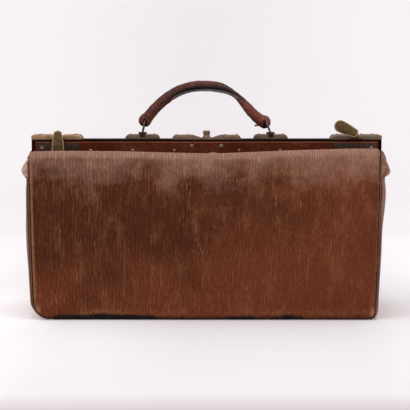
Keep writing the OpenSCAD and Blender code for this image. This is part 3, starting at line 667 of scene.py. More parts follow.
@dataclass(frozen=True)
class Metal(Finish):
    """Old metal with tarnish and rubbed edges; on the paddles the edge tone is a painted highlight along the
    rim.
    """
    base: Tone
    dull: Tone
    edge: Tone
    metallic: float = 0.8
    rough: Pair = (0.35, 0.6)
    amount: float = 0.8
    scale: float = 90.0
    depth: float = 0.00012
    edged: float = 0.8
    gloss: float = 0.5

    def lay(self, pad: Pad, at: Socket) -> dict[str, object]:
        """Lays the metal's nodes.

        Args:
            pad: the material's tree.
            at: object coordinates.

        Returns:
            What goes into the shader, by input name.
        """
        edge = rgb(self.edge)
        dirt = pad.effect(Group.TARNISH, at, Scale=self.scale, Amount=self.amount)
        lines = pad.effect(Group.SCRATCHES, at, Scale=900.0, Amount=0.4)["Fac"]
        tone = pad.mix(dirt["Fac"], rgb(self.base), rgb(self.dull))
        tone = pad.mix(pad.times(dirt["Spots"], 0.5), tone, rgb([c // 2 for c in self.dull]))
        # Edge tone on rubbed edges; on the paddles, a painted highlight along the rim.
        tone = pad.mix(pad.times(pad.rubbed(at, "edge", 240.0, 0.9), self.edged), tone, edge)
        return {"Base Color": pad.mix(pad.times(lines, 0.5), tone, edge),
                "Roughness": pad.span(dirt["Fac"], 0.0, 1.0, *self.rough), "Metallic": self.metallic,
                "Specular IOR Level": self.gloss,
                "Normal": pad.bump(pad.noise(at, 420.0, 4.0, 0.6), self.depth)}


@dataclass(frozen=True)
class Cloth(Finish):
    """Plain woven cotton."""
    warp: Tone
    weft: Tone
    pitch: float = 900.0

    def lay(self, pad: Pad, at: Socket) -> dict[str, object]:
        """Lays the cloth's nodes.

        Args:
            pad: the material's tree.
            at: object coordinates.

        Returns:
            What goes into the shader, by input name.
        """
        x, y, z = pad.node("SeparateXYZ", {0: at}).outputs
        over, under = (pad.math("SINE", pad.times(way, self.pitch * math.tau)) for way in (pad.plus(x, y), z))
        weave = pad.times(over, under)
        stain = pad.effect(Group.DUST, at, Scale=14.0, Amount=0.6)["Fac"]
        tone = pad.mix(pad.span(weave, -1.0, 1.0), rgb(self.warp), rgb(self.weft))
        tone = pad.mix(stain, tone, rgb([int(c * 0.72) for c in self.weft]))
        return {"Base Color": tone, "Roughness": 0.9, "Normal": pad.bump(weave, 0.0002, 0.6)}


@dataclass(frozen=True)
class PulpBoard(Finish):
    """Pressed board of pulp."""
    dark: Tone = (116, 100, 82)
    light: Tone = (150, 133, 110)
    dusty: Tone = (96, 84, 70)

    def lay(self, pad: Pad, at: Socket) -> dict[str, object]:
        """Lays the board's nodes.

        Args:
            pad: the material's tree.
            at: object coordinates.

        Returns:
            What goes into the shader, by input name.
        """
        pulp = pad.noise(at, 700.0, 6.0, 0.7)
        dust = pad.effect(Group.DUST, at, Scale=30.0, Amount=0.5)["Fac"]
        tone = pad.mix(pad.span(pulp, 0.3, 0.7), rgb(self.dark), rgb(self.light))
        return {"Base Color": pad.mix(dust, tone, rgb(self.dusty)), "Roughness": 0.95,
                "Normal": pad.bump(pulp, 0.0002, 0.5)}


@dataclass(frozen=True)
class Paper(Finish):
    """Pale paper under the bag, with a glow that only the camera, mirrors and glass see; beside the bag, most
    at its left, the glow is painted light that lifts the bag's shadow, and a darker strip in front of the bag
    is painted shade.
    """
    plain: Tone = (240, 236, 238)
    cloud: Tone = (236, 232, 234)
    # Tone of the painted shade across the floor in front of the bag.
    near: Tone = (212, 204, 206)
    glow: tuple[float, ...] = (0.48, 0.47, 0.48, 1.0)

    def lay(self, pad: Pad, at: Socket) -> dict[str, object]:
        """Lays the paper's nodes.

        Args:
            pad: the material's tree.
            at: object coordinates.

        Returns:
            What goes into the shader, by input name.
        """
        tone = pad.mix(pad.span(pad.noise(at, 1.2, 2.0), 0.3, 0.7), rgb(self.cloud), rgb(self.plain))
        y = pad.node("SeparateXYZ", {0: at}).outputs[1]
        # Painted shade: a darker strip across the floor in front of the bag.
        shade_band = pad.times(pad.span(y, -0.60, -0.68), pad.span(y, -1.3, -0.75))
        glow = pad.mix(pad.times(self.paleness(pad, at), pad.seen()), (0, 0, 0, 1), self.glow)
        return {"Base Color": pad.mix(shade_band, tone, rgb(self.near)), "Roughness": 0.95,
                "Specular IOR Level": 0.1, "Emission Color": glow, "Emission Strength": 1.0}

    @staticmethod
    def paleness(pad: Pad, at: Socket) -> Socket:
        """Share of the glow: more far behind the bag, and beside it, most at its left, as painted light that
        lifts the bag's shadow on the floor.

        Args:
            pad: the material's tree.
            at: object coordinates.

        Returns:
            The share's socket.
        """
        x, y, _ = pad.node("SeparateXYZ", {0: at}).outputs
        off, west = pad.math("ABSOLUTE", x), pad.times(x, -1.0)
        # Painted light beside the bag's ends, lifting their shadows on the floor.
        outer = pad.times(pad.span(off, 0.30, 0.38, 0.0, 0.168), pad.span(y, 0.1, 0.35))
        beside = pad.times(pad.plus(pad.span(off, 0.20, 0.30, 0.0, 0.21), outer),
                           pad.span(y, 1.0, 2.0, 1.0, 0.0))
        far = pad.times(pad.span(off, 0.06, 0.60, 0.30, 0.45), pad.span(y, 0.3, 1.4))
        # Painted light on the floor in front of and beside the bag's left end, lifting its shadow there.
        front = pad.times(pad.span(west, 0.03, 0.15), pad.span(y, -0.55, -0.12, 0.05, 0.20))
        near = pad.times(pad.span(west, 0.20, 0.26),
                         pad.span(pad.math("ABSOLUTE", y), 0.08, 0.20, 0.26, 0.0))
        left = pad.times(pad.plus(front, near), pad.span(y, 0.12, 0.32, 1.0, 0.0),
                         pad.span(west, 0.34, 0.70, 1.0, 0.0))
        return pad.plus(pad.math("MAXIMUM", beside, far), left)


BODY_LEATHER = Leather("body_leather", (68, 32, 14), (98, 46, 26), (136, 86, 58), (168, 116, 82),
                       faded=(170, 132, 114), lines=270.0, spread=0.6, waver=1.6, depth=0.00022,
                       gloss=0.07, rough=(0.58, 0.74), fleck=0.43,
                       masks=("tide", "fade", "wear", "rub", "soot"))
# Its worn tone also paints the highlight on the gathered leather at the left end.
END_LEATHER = Leather("end_leather", (104, 62, 46), (142, 98, 76), (176, 136, 114), (212, 180, 162),
                      masks=("wear", "soot"), across=(0.0, 1.0, 0.0), waver=1.4, gloss=0.14)
WELT_LEATHER = Leather("welt_leather", (24, 12, 9), (38, 20, 14), (66, 40, 28), (118, 86, 74),
                       masks=("wear",), relief=0.3, gloss=0.08)
STRIP_LEATHER = Leather("red_leather", (66, 23, 6), (82, 31, 12), (98, 46, 26), (124, 74, 54),
                        masks=("wear",), pebble=1100.0, lines=120.0, waver=1.6, relief=0.25,
                        rough=(0.48, 0.62), gloss=0.07, fleck=0.10)
# Its grey-white worn tone also paints the highlight along the grip's underside.
GRIP_LEATHER = Leather("handle_leather", (58, 25, 17), (112, 54, 40), (160, 108, 90), (176, 172, 170),
                       masks=("wear", "soot"), pebble=800.0, lines=170.0, across=(0.6, 0.0, 0.8),
                       waver=1.8, relief=0.8, rough=(0.42, 0.60), gloss=0.20, fleck=0.26)
OLD_BRASS = Metal("old_brass", (122, 98, 78), (88, 68, 54), (158, 132, 104), metallic=0.45,
                  rough=(0.45, 0.68), amount=0.7)
PALE_BRASS = Metal("pale_brass", (166, 130, 94), (126, 94, 66), (196, 160, 120), metallic=0.4,
                   rough=(0.45, 0.68), amount=0.7, slot_as="old_brass")
# Its edge tone is a painted highlight along the paddles' rims.
PADDLE_BRASS = Metal("paddle_brass", (104, 80, 44), (70, 50, 26), (190, 170, 132), metallic=0.6,
                     rough=(0.34, 0.55), scale=150.0, edged=0.6, slot_as="old_brass")
BRASS_WIRE = Metal("brass_wire", (112, 90, 72), (74, 54, 42), (166, 140, 110), metallic=0.6,
                   rough=(0.3, 0.5))
JAPANNED = Metal("japanned_steel", (22, 7, 5), (32, 12, 9), (72, 42, 32), metallic=0.0,
                 rough=(0.72, 0.85), amount=0.5, edged=0.15, gloss=0.03)
DARK_PLATE = Metal("dark_plate", (44, 29, 21), (72, 52, 38), (126, 106, 84), metallic=0.3,
                   rough=(0.45, 0.65), scale=200.0, gloss=0.25)
PLAIN_STEEL = Metal("plain_steel", (148, 132, 118), (104, 86, 72), (184, 170, 156), metallic=0.6,
                    rough=(0.3, 0.5), scale=300.0)
LOCK_STEEL = Metal("lock_steel", (104, 98, 92), (70, 58, 50), (150, 144, 138), rough=(0.4, 0.6))
LINING_CLOTH = Cloth("lining_cloth", (150, 134, 108), (176, 160, 132))
BOARD = PulpBoard("board")


@dataclass(frozen=True)
class Form:
    """Outer shape of the bag's leather."""
    ridge_z: float = 235.0
    half_depth: float = 105.0
    widest_z: float = 70.0
    lean: float = 14.0
    panel_half: float = 241.5
    flare: float = 7.0
    piping_in: float = 1.4
    brow_y: float = 84.0
    base_edge: float = 9.0
    base_lift: float = 2.2
    corners: Pair = (28.0, 12.0)
    ridge_corners: Pair = (8.0, 4.0)
    end_bulge: float = 7.6
    hinge_bulge: float = 3.2
    hem_z: float = 200.0
    pin_z: float = 190.0
    fan_z: float = 176.0
    jaw_out: float = 23.0
    jaw_z: float = 236.0
    arm_x: float = 255.4
    seam_in: float = 5.9
    slump: float = 3.0
    fuller: float = 1.8
    rows: int = 150
    lift: tuple[Pair, ...] = ((-246, 3.0), (-200, 3.9), (-120, 3.3), (-20, 0.7), (4, 0.2), (12, 2.0),
                              (20, 0.2), (60, 1.9), (120, 4.4), (200, 6.8), (246, 7.0))

    def body_y(self, z: float) -> float:
        """Half depth at height z."""
        if z < self.widest_z:
            return self.half_depth - 2 * ((self.widest_z - z) / self.widest_z) ** 2
        return self.half_depth - self.lean * ((z - self.widest_z) / (self.ridge_z - self.widest_z)) ** 2

    def panel_x(self, z: float) -> float:
        """Half length of the front at height z."""
        return self.panel_half + self.flare * z / self.ridge_z

    def end_x(self, z: float, y: float) -> float:
        """Distance of an end from the middle.

        Args:
            z: height.
            y: depth.

        Returns:
            The distance along X.
        """
        bulge = self.end_bulge + self.hinge_bulge * ease(z, 20, 140) - 2.6 * ease(z, 170, 205)
        share = min(1.0, abs(y) / self.body_y(min(z, self.ridge_z)))
        return self.panel_x(z) + 3 + bulge * (1 - share ** 2)

    def profile(self) -> list[Pair]:
        """Runs along the front leather, from under the base to the jaw.

        Returns:
            Depth and height of each row.
        """
        pan, low, ridge = self.base_edge, self.body_y(self.base_edge), self.body_y(self.ridge_z)
        turns = [math.radians(a) for a in (0, 22.5, 45, 67.5, 90)]
        keys = [(-(low - pan * (1 - math.sin(a))), pan * (1 - math.cos(a))) for a in turns]
        keys += [(-self.body_y(z), z) for z in (30, 50, 70, 95, 120, 145, 170, 190, 208, 220, 228)]
        keys += [(y - ridge, z) for y, z in ((0.4, 232), (2.4, 234.6), (5.4, 234.8), (9.5, 232.4),
                                             (18, 226), (33, 216))]
        keys += [(-44, 209.5), (-34, 208.4), (-28.4, 211), (-25.6, 217), (-24.4, 223), (-24.2, 228)]
        return rail(keys, self.rows)

    def corner_drop(self, x: float) -> float:
        """Fall of the ridge where it rounds off at its two ends."""
        inside = self.panel_x(self.ridge_z) - self.piping_in - abs(x)
        return rounded(self.ridge_corners[x >= 0], inside)

    def corner_in(self, x: float, z: float) -> float:
        """How far a rounded bottom corner draws the edge in; the sign of x picks the corner."""
        return rounded(self.corners[x >= 0], z)

    def settle(self, p: Vector) -> Vector:
        """Slump of the body towards its left, with a fuller left end.

        Args:
            p: a point of the even body.

        Returns:
            The point on the slumped body.
        """
        depth = abs(p.y)
        lean = self.slump * max(ease(depth, 52, 90), fall(p.z, 120, 175))
        belly = self.fuller * fall(depth, 20, 95) * ease(p.z, 8, 60) if p.x < 0 else 0.0
        return Vector((p.x - lean - belly * fall(p.z, 204, 238), p.y, p.z))

    def near_ridge(self, y: float, z: float) -> float:
        """Share, 1 at the ridge, that its rise and fall reach."""
        gap = math.hypot(y + self.body_y(self.ridge_z) - 3, z - self.ridge_z)
        return 0.0 if z < 170 else fall(gap, 2, 44)


@dataclass(frozen=True)
class Mark:
    """A rubbed line or patch on the front leather."""
    path: tuple[Pair, ...]
    width: float
    strength: float

    def at(self, x: float, z: float) -> float:
        """Strength of the mark.

        Args:
            x, z: place on the front.

        Returns:
            A share from 0 to 1.
        """
        spot, near = Vector((x, z)), 1e9
        for a, b in zip(self.path, self.path[1:]):
            p, q = Vector(a), Vector(b)
            along = min(1.0, max(0.0, (spot - p).dot(q - p) / (q - p).length_squared))
            near = min(near, (spot - p.lerp(q, along)).length)
        return self.strength * fall(near, self.width * 0.3, self.width)


@dataclass(frozen=True)
class FaceWear:
    """Masks of the front or rear leather."""
    form: Form
    side: Side
    seed: float
    marks: tuple[Mark, ...] = (
        Mark(((-27, 230), (-28, 201), (-27, 181), (-25, 160), (-17, 140), (-14, 118), (-6, 96)), 1.7, 0.52),
        Mark(((-23, 224), (-24, 176)), 1.3, 0.36),
        Mark(((12, 211), (16, 199), (44, 197), (79, 205)), 2.2, 0.34),
        Mark(((84, 206), (112, 210), (140, 205)), 6.0, 0.40),
        Mark(((97, 178), (97, 152), (104, 138)), 1.8, 0.42),
        Mark(((128, 190), (132, 160)), 1.6, 0.30),
        Mark(((-5, 62), (-4, 46)), 1.6, 0.45),
        Mark(((3, 29), (6, 14)), 1.8, 0.42),
        Mark(((-128.4, 39), (-127, 39.6)), 1.6, 0.9))
    streaks: tuple[Pair, ...] = ((-230, 0.1), (-214, 0.8), (-150, 1), (-80, 1), (-58, 0.4), (20, 0.35),
                                 (34, 0.8), (62, 0.8), (80, 0.35), (104, 0.5), (114, 1), (130, 1),
                                 (140, 0.3), (240, 0.2))

    def fade(self, p: Vector) -> float:
        """Pale zone under the ridge and over it: paler leather with a painted sheen of the light from above,
        and a painted highlight along the ridge's roll.

        Args:
            p: place in millimetres.

        Returns:
            A share.
        """
        # Paler towards the ridge: paler leather with a painted sheen of the light from above.
        down = 0.38 * ease(p.z, 180, 230) + 0.12 * ease(p.z, 140, 200)
        down += 0.22 * ripple(Vector((p.x, 0, p.z * 0.6)), 46, 2 + self.seed) * ease(p.z, 90, 170)
        # Painted highlight along the roll of the ridge.
        top = p.z - self.form.ridge_z - lookup(p.x, self.form.lift)
        return max(0.0, down + (0.80 - 0.2 * ease(p.x, -60, 60)) * fall(abs(top + 0.5), 1, 12))

    def tide(self, p: Vector) -> float:
        """Broad tone, darkest across the middle and at the left.

        Args:
            p: place in millimetres.

        Returns:
            A share.
        """
        waver = 26 * ripple(Vector((p.x, 0, p.z * 0.4)), 70, 7 + self.seed)
        waver += 12 * ripple(Vector((p.x, 0, p.z)), 24, self.seed)
        low = fall(p.z + waver, 5, 135)
        return 0.5 + 0.6 * low - 0.72 * fall(p.x, -150, 130) * (1 - low) + 0.3 * ease(p.x, 60, 160)

    def wear(self, p: Vector) -> float:
        """Rubbed edges and corners.

        Args:
            p: place in millimetres.

        Returns:
            A share.
        """
        slump, reach, low = (2.0, 3.4, 10) if p.x > 0 else (-2.0, 3.8, 15)
        edge = self.form.panel_x(p.z) - self.form.piping_in - abs(p.x) - slump
        rim = 0.66 * fall(edge, 0.6, reach) * ease(p.z, 10, 30) * (1 if -self.side.sign * p.y < -80 else 0.2)
        patch = 0.5 + 0.9 * ripple(Vector((p.x, 0, 0)), 60, 4.0)
        hem = 0.40 * patch * fall(p.z, 9, 24) * ease(p.z, 5, 9)
        gap = math.hypot(max(0.0, edge - 4) * 1.3, (p.z - low) * 0.8) + 3.0 * ripple(p, 9, 6.0)
        return max(rim, hem, 0.9 * fall(gap, 1, 9))

    def rub(self, p: Vector) -> float:
        """Rubbed marks, seen only on the crests of the front's grain."""
        on_front = self.side is Side.FRONT and p.y <= -self.form.brow_y
        return max(m.at(p.x, p.z) for m in self.marks) if on_front else 0.0

    def soot(self, p: Vector) -> float:
        """Blackened streaks along the bottom edge, over painted shade along the whole edge where it turns
        under.

        Args:
            p: place in millimetres.

        Returns:
            A share.
        """
        run = lookup(p.x, self.streaks)
        upper = 3.5 + 4.5 * run + 2.5 * ripple(Vector((p.x, 0, 0)), 15, 2.0)
        return fall(p.z, upper - 3, upper + 4) * (0.40 + 0.55 * run)

    def masks(self) -> dict[str, Paint]:
        """Every mask by its name."""
        return {"tide": self.tide, "fade": self.fade, "wear": self.wear, "rub": self.rub, "soot": self.soot}


@dataclass
class LeatherBody:
    """The leather bag below its frame."""
    form: Form = field(default_factory=Form)
    wall: float = 2.6
    end_wall: float = 1.8
    fold_wall: float = 1.9
    fold_start: Triple = (0, -99, 186)
    fold_end: Triple = (0, -25, 226)
    welt_r: float = 1.5
    bellies: Pair = (4.6, 7.0)
    gather_z: float = 225.0
    pleat: float = 1.5
    pleats: float = 15.0
    web_wide: float = 23.5

    def fold_mount(self, side: Side, *nodes: str) -> Mount:
        """Mount of leather between the body and a jaw; a piece with it stays fixed where it is built.

        Args:
            side: front or rear.
            nodes: the CAD nodes that the piece stands for.

        Returns:
            The mount.
        """
        (ax, ay, az), (bx, by, bz), turn = self.fold_start, self.fold_end, -side.sign
        return Mount("bag_body", nodes, f"{side.word}_jaw", (ax, turn * ay, az), (bx, turn * by, bz))

    def put(self, bm: bmesh.types.BMesh, name: str, finish: Finish, mount: Mount, wall: float = 0,
            paints: dict[str, Paint] | None = None) -> None:
        """Lets a mesh slump with the body and places it.

        Args:
            bm: the even mesh.
            name: the piece's name.
            finish: its material.
            mount: what it stands for, and the body it moves with unless it names another body, when it stays
                fixed where it is built.
            wall: thickness that it gains inwards.
            paints: masks by name.
        """
        for v in bm.verts:
            v.co = self.form.settle(v.co / MM) * MM
        MeshShop.place(bm, name, finish, mount, wall, paints)

    def face_point(self, u: float, row: Pair, seed: float) -> Vector:
        """Point on the front leather.

        Args:
            u: share along the bag, 0 at the left.
            row: depth and height of the profile there.
            seed: shifts the small swells.

        Returns:
            The point.
        """
        form, (y, z), s = self.form, row, 2 * u - 1
        on_face = y < -form.brow_y
        behind = ease(y, -form.body_y(form.ridge_z) + 6, -form.jaw_out - 6)
        half = form.panel_x(min(z, form.ridge_z) if on_face else form.ridge_z)
        half += 3 * behind - form.piping_in - (form.corner_in(s, z) if y < -50 else 0.0)
        x = s * half
        spot, edge = Vector((x, y, z)), half - abs(x)
        swell = 0.9 * ripple(spot, 70, seed) + 0.35 * ripple(spot, 22, seed + 3)
        swell *= ease(z, 4, 30) * ease(edge, 0, 16) * (1 - 0.5 * behind) * fall(y, -40, -27)
        curl = 2.6 * fall(edge, 0, 8) ** 1.5 if y < -60 else 0.0
        rise = form.near_ridge(y, z) * (lookup(x, form.lift) - form.corner_drop(x))
        if y > -form.brow_y:
            creases = 1.6 * ripple(Vector((x, 0, 0)), 38, seed + 5) + 0.8 * ripple(spot, 14, seed + 7)
            rise += ease(y, -form.brow_y, -60) * fall(y, -40, -28) * creases
        return Vector((x, y - swell * (1 if on_face else 0.3) + curl, z + rise))

    def face(self, side: Side) -> None:
        """Builds the front or rear leather, from under the base over the ridge to the jaw.

        Args:
            side: front or rear.
        """
        rows, seed, name = self.form.profile(), side.pick((0.0, 11.0)), side.word

        def place(u: float, v: float) -> Vector:
            """Point of the sheet for its shares along and up."""
            spot = self.face_point(u, rows[round(v * self.form.rows)], seed)
            return Vector((spot.x, -side.sign * spot.y, spot.z))

        bm = MeshShop.sheet(196, self.form.rows, place, Vector((0, 0, 120)))
        self.put(bm, f"{name}_leather", BODY_LEATHER,
                 self.fold_mount(side, f"{name}_panel", f"{name}_shoulder"), self.wall,
                 FaceWear(self.form, side, seed).masks())

    def edge_path(self, side: Side, end: Side) -> list[Vector]:
        """Edge of the front or rear leather at one end, from the base to the jaw."""
        path = [self.face_point(end.pick((0.0, 1.0)), row, 0.0) for row in self.form.profile()]
        return [Vector((p.x, -side.sign * p.y, p.z)) for p in path]

    def welts(self, side: Side) -> None:
        """Builds the piping along both seams of one face.

        Args:
            side: front or rear.
        """
        form, joined = self.form, bmesh.new()
        for end in ENDS:
            path = self.edge_path(side, end)[2::2]
            out = Vector((end.sign, 0, 0))
            rings = []
            for k, p in enumerate(path):
                ahead = (path[min(k + 1, len(path) - 1)] - path[max(k - 1, 0)]).normalized()
                up = ahead.cross(out).normalized()
                centre = p + out * self.welt_r + Vector((0, -side.sign * 0.9, -0.6 if p.z > 220 else 0))
                radius = self.welt_r + 0.12 * ripple(p, 9, 4.0)
                centre.z = max(centre.z, radius + 0.1)
                rings.append([centre + (out * math.cos(a) + up * math.sin(a)) * radius
                              for a in (math.tau * n / 10 for n in range(10))])
            mesh = MeshShop.keep(MeshShop.tube(rings), "welt_tube")
            joined.from_mesh(mesh)
            bpy.data.meshes.remove(mesh)

        def wear(p: Vector) -> float:
            """Rubbed places on the piping, palest on its outer half."""
            out = (p.x + form.slump) * math.copysign(1, p.x) - form.panel_x(min(p.z, form.ridge_z)) - 0.1
            return 0.12 + 0.35 * ripple(p, 24, 9.0) + 0.3 * fall(p.z, 10, 34) + 0.8 * ease(out, -0.5, 0.5)

        self.put(joined, f"{side.word}_piping", WELT_LEATHER,
                 self.fold_mount(side, f"{side.word}_welts"), paints={"wear": wear})

    def base(self) -> None:
        """Builds the leather base with its turned-up edge."""
        form = self.form
        low = form.body_y(form.base_edge) - form.base_edge - 1

        def place(u: float, v: float) -> Vector:
            """Point of the base's underside.

            Args:
                u, v: shares along and across.

            Returns:
                The point.
            """
            s, t = 2 * u - 1, 2 * v - 1
            half = form.panel_half - form.corners[s >= 0] + 3
            lift = form.base_lift * (ease(abs(t), 0.92, 1) + ease(abs(s), 0.96, 1))
            sag = 0.35 * ripple(Vector((s * half, t * low, 0)), 60, 1.0)
            return Vector((s * half, t * low, 0.45 + lift + max(0, sag)))

        bm = MeshShop.sheet(90, 40, place, Vector((0, 0, 60)))
        self.put(bm, "base_leather", BODY_LEATHER, Mount("bag_body", ("base_panel",)), self.wall,
                 {"tide": lambda p: 0.5, "fade": lambda p: 0.1, "rub": lambda p: 0.0,
                  "wear": lambda p: 0.35 * ease(abs(p.y), 78, 92),
                  "soot": lambda p: 0.35 + 0.4 * ripple(p, 50, 6.0)})

    def end_leather(self, end: Side) -> None:
        """Builds the stiff lower part of one end.

        Args:
            end: left or right.
        """
        form, pan, foot = self.form, self.form.base_edge, 0.4
        top = form.hem_z + 2.5

        def place(u: float, v: float) -> Vector:
            """Point of the end.

            Args:
                u, v: shares across and up.

            Returns:
                The point.
            """
            z = foot + (top - foot) * v
            under = pan * (1 - math.sin(math.acos(max(0.0, 1 - z / pan)))) if z < pan else 0.0
            y = (2 * u - 1) * (form.body_y(z) - form.seam_in + 1.6 - under)
            x = form.end_x(z, y) - form.corner_in(end.sign, z)
            swell = 0.7 * ripple(Vector((x, y, z)), 46, 14.0 + end.sign) * ease(z, 5, 40) * fall(z, 165, 180)
            tongue = 0.5 * ease(z, 186, 192) * ease(abs(y), 10, 30)
            return Vector((end.sign * (x + swell - tongue), y, z))

        def wear(p: Vector) -> float:
            """Rubbed lower corners."""
            corner = 0.75 * fall(p.z, 6, 30) * ease(abs(p.y), 60, 96)
            return corner + 0.25 * fall(p.z, 2, 14) + 0.2 * ripple(p, 40, 3.0)

        bm = MeshShop.sheet(70, 84, place, Vector((0, 0, 100)))
        # The dark mask here is painted shade along the bottom, where the leather turns under.
        self.put(bm, f"{end.word}_end_leather", END_LEATHER, Mount("bag_body", (f"{end.word}_gusset",)),
                 self.end_wall, {"wear": wear, "soot": lambda p: 0.8 * fall(p.z, 1, 7)})

    def pucker(self, end: Side, y: float, z: float, top: float, rim_x: float) -> float:
        """Distance from the middle of the gathered leather above a hinge pin.

        Args:
            end: left or right.
            y, z: place on the end.
            top: height of its upper edge there.
            rim_x: distance of its upper edge from the middle.

        Returns:
            The distance along X.
        """
        form, low, high = self.form, self.form.hem_z, z - self.form.fan_z
        share = max(0.0, min(1.0, (z - low) / max(top - low, 1)))
        angle, reach = math.degrees(math.atan2(y, high)), math.hypot(y, high)
        stray = 40 * ripple(Vector((y, 0, z)), 22, 5.0 * end.sign)
        rib = math.sin(math.radians(angle * self.pleats + stray))
        inset = form.body_y(min(z, form.ridge_z)) - abs(y)
        swell = ease(share, 0.0, 0.2) * fall(share, 0.75, 1) * ease(inset, 3, 13)
        fan = self.pleat * rib + 1.0 * ripple(Vector((angle * 1.4, reach * 0.3, 0)), 7, end.sign)
        full = math.sin(math.pi * share ** 1.3) ** 0.75 if 0 < share < 1 else 0.0
        belly = end.pick(self.bellies) * full * ease(inset, 2.5, 11) * (0.45 + 0.55 * ease(abs(y), 15, 60))
        foot_x = form.end_x(low, y) + 1.6 - fall(z - low, 0, 2.2)
        side_x = form.panel_x(min(z, form.ridge_z)) + 1.0
        plain = foot_x + (rim_x - foot_x) * ease(share, 0.2, 1.0)
        return plain + (side_x - plain) * fall(inset, 2.4, 10) + belly + fan * swell

    def gathered(self, end: Side, side: Side, what: str, steps: tuple[int, int], place: Place,
                 mount: Mount) -> None:
        """Places one piece of the gathered leather above a hinge pin.

        Args:
            end: left or right.
            side: front or rear.
            what: middle of the piece's name.
            steps: number of steps across and up.
            place: gives its points.
            mount: what it stands for, and the body it moves with unless it names another body, when it stays
                fixed where it is built.
        """
        bm = MeshShop.sheet(*steps, place, Vector((0, 0, self.form.pin_z)))
        hem = self.form.hem_z
        # The dark mask here is painted shade at the hem of the gathered leather, where it overlaps the end
        # below.
        self.put(bm, f"{end.word}_end_{what}_{side.word}", END_LEATHER, mount, self.fold_wall,
                 {"wear": self.fold_wear, "soot": lambda p: 0.75 * fall(p.z, hem + 0.5, hem + 4)})

    def end_fold(self, end: Side, side: Side) -> None:
        """Builds the gathered leather between one end, one face and its jaw.

        Args:
            end: left or right.
            side: front or rear.
        """
        form, low, turn = self.form, self.form.hem_z, -side.sign
        edge = [p for p in self.edge_path(side, end) if p.z > form.pin_z and abs(p.y) > 24.5]
        heights = sorted((abs(p.y), p.z) for p in edge)
        rims = sorted((abs(p.y), abs(p.x)) for p in edge)

        def place(u: float, v: float) -> Vector:
            """Point of the fold.

            Args:
                u, v: shares outwards and up.

            Returns:
                The point.
            """
            depth = form.jaw_out - 2 + (form.body_y(form.ridge_z) - 1.5 - form.jaw_out) * u
            gather = self.gather_z + 2.5 * ripple(Vector((depth, 0, end.sign * 9)), 9, 3.0)
            lifted = max(gather, lookup(depth, heights) - 1.0)
            if depth < 28:
                lifted = max(lifted, form.jaw_z - 6 * max(0, depth - form.jaw_out))
            rim_x = lookup(depth, rims) + 1.6
            rim_x += (form.arm_x - rim_x) * fall(depth, 26, 40)
            top = max(low + 5, lifted)
            z = low + (top - low) * v
            depth += (form.body_y(min(z, form.ridge_z)) - form.body_y(form.ridge_z) + 1.0) * u ** 3
            return Vector((end.sign * self.pucker(end, turn * -depth, z, top, rim_x), turn * -depth, z))

        nodes = (f"{end.word}_gusset_fold",) if side is Side.FRONT else ()
        self.gathered(end, side, "fold", (76, 34), place, self.fold_mount(side, *nodes))

    def end_web(self, end: Side, side: Side) -> None:
        """Builds the leather web between one jaw's arm and the middle of the end.

        Args:
            end: left or right.
            side: front or rear.
        """
        form, low, turn, wide = self.form, self.form.hem_z, -side.sign, self.web_wide
        tops = ((0, 213), (6, 216), (14, 226), (21, form.jaw_z), (wide, form.jaw_z))

        def place(u: float, v: float) -> Vector:
            """Point of the web.

            Args:
                u, v: shares outwards and up.

            Returns:
                The point.
            """
            z = low + (lookup(wide * u, tops) - low) * v
            x = self.pucker(end, turn * -wide * u, z, form.jaw_z, form.arm_x)
            return Vector((end.sign * x, turn * -wide * u, z))

        mount = Mount("bag_body", (), f"{side.word}_jaw", (0, 0, low), (0, turn * -22, low))
        self.gathered(end, side, "web", (16, 30), place, mount)

    @staticmethod
    def fold_wear(p: Vector) -> float:
        """Pale rubbed crests on gathered leather, paler on the outermost crests, with a painted highlight
        over the left end where the light from the left falls; as a share at a place in millimetres.
        """
        return 0.20 + 0.30 * ripple(p, 7, 2.0) + 0.2 * ease(abs(p.x), 256, 262) + 0.3 * ease(-p.x, 100, 200)

    def lining(self) -> None:
        """Builds the cloth lining, creased where it hangs."""
        form, top, floor_z, count, square = self.form, 180.0, 6.6, 176, 0.14

        def ring(z: float, inset: float, wave: float) -> list[Vector]:
            """Loop of the lining at one height.

            Args:
                z: the height.
                inset: distance inside the leather.
                wave: depth of its creases.

            Returns:
                The points.
            """
            out = []
            for a in (math.tau * k / count for k in range(count)):
                c, s = math.cos(a), math.sin(a)
                y = (form.body_y(max(z, 20)) - inset) * math.copysign(abs(s) ** square, s)
                x = math.copysign(abs(c) ** square, c) * (form.end_x(max(z, 20), y) - inset)
                crease = max(0, wave * ripple(Vector((x * 0.9, y * 0.9, z * 0.25)), 17, 8.0) + 0.4)
                y -= math.copysign(crease, y) * abs(s)
                x -= math.copysign(crease, x) * abs(c)
                out.append(Vector((x, y, z)))
            return out

        steps = [(floor_z, 30, 0.0), (floor_z, 16, 0.2), (floor_z + 2, 11, 0.6)]
        steps += [(z, 8.4, 1.6) for z in range(18, 174, 6)] + [(top - 3, 8.2, 0.8), (top, 8.0, 0.2)]
        rings = [ring(*s) for s in steps]
        rings.insert(0, [Vector((p.x * 0.5, p.y * 0.3, floor_z)) for p in rings[0]])
        bm = MeshShop.tube(rings, closed_ends=False)
        bmesh.ops.contextual_create(bm, geom=[e for e in bm.edges if e.is_boundary
                                              and e.verts[0].co.z < (floor_z + 1) * MM])
        bmesh.ops.recalc_face_normals(bm, faces=bm.faces[:])
        if sum(f.normal.z for f in bm.faces if abs(f.normal.z) > 0.9) > 0:
            bmesh.ops.reverse_faces(bm, faces=bm.faces[:])
        self.put(bm, "bag_lining", LINING_CLOTH, Mount("bag_body", ("lining",)), 1.0)

    def build(self) -> None:
        """Builds every leather and cloth piece of the body."""
        for side in FACES:
            self.face(side)
            self.welts(side)
        self.base()
        for end in ENDS:
            self.end_leather(end)
            for side in FACES:
                self.end_fold(end, side)
                self.end_web(end, side)
        self.lining()


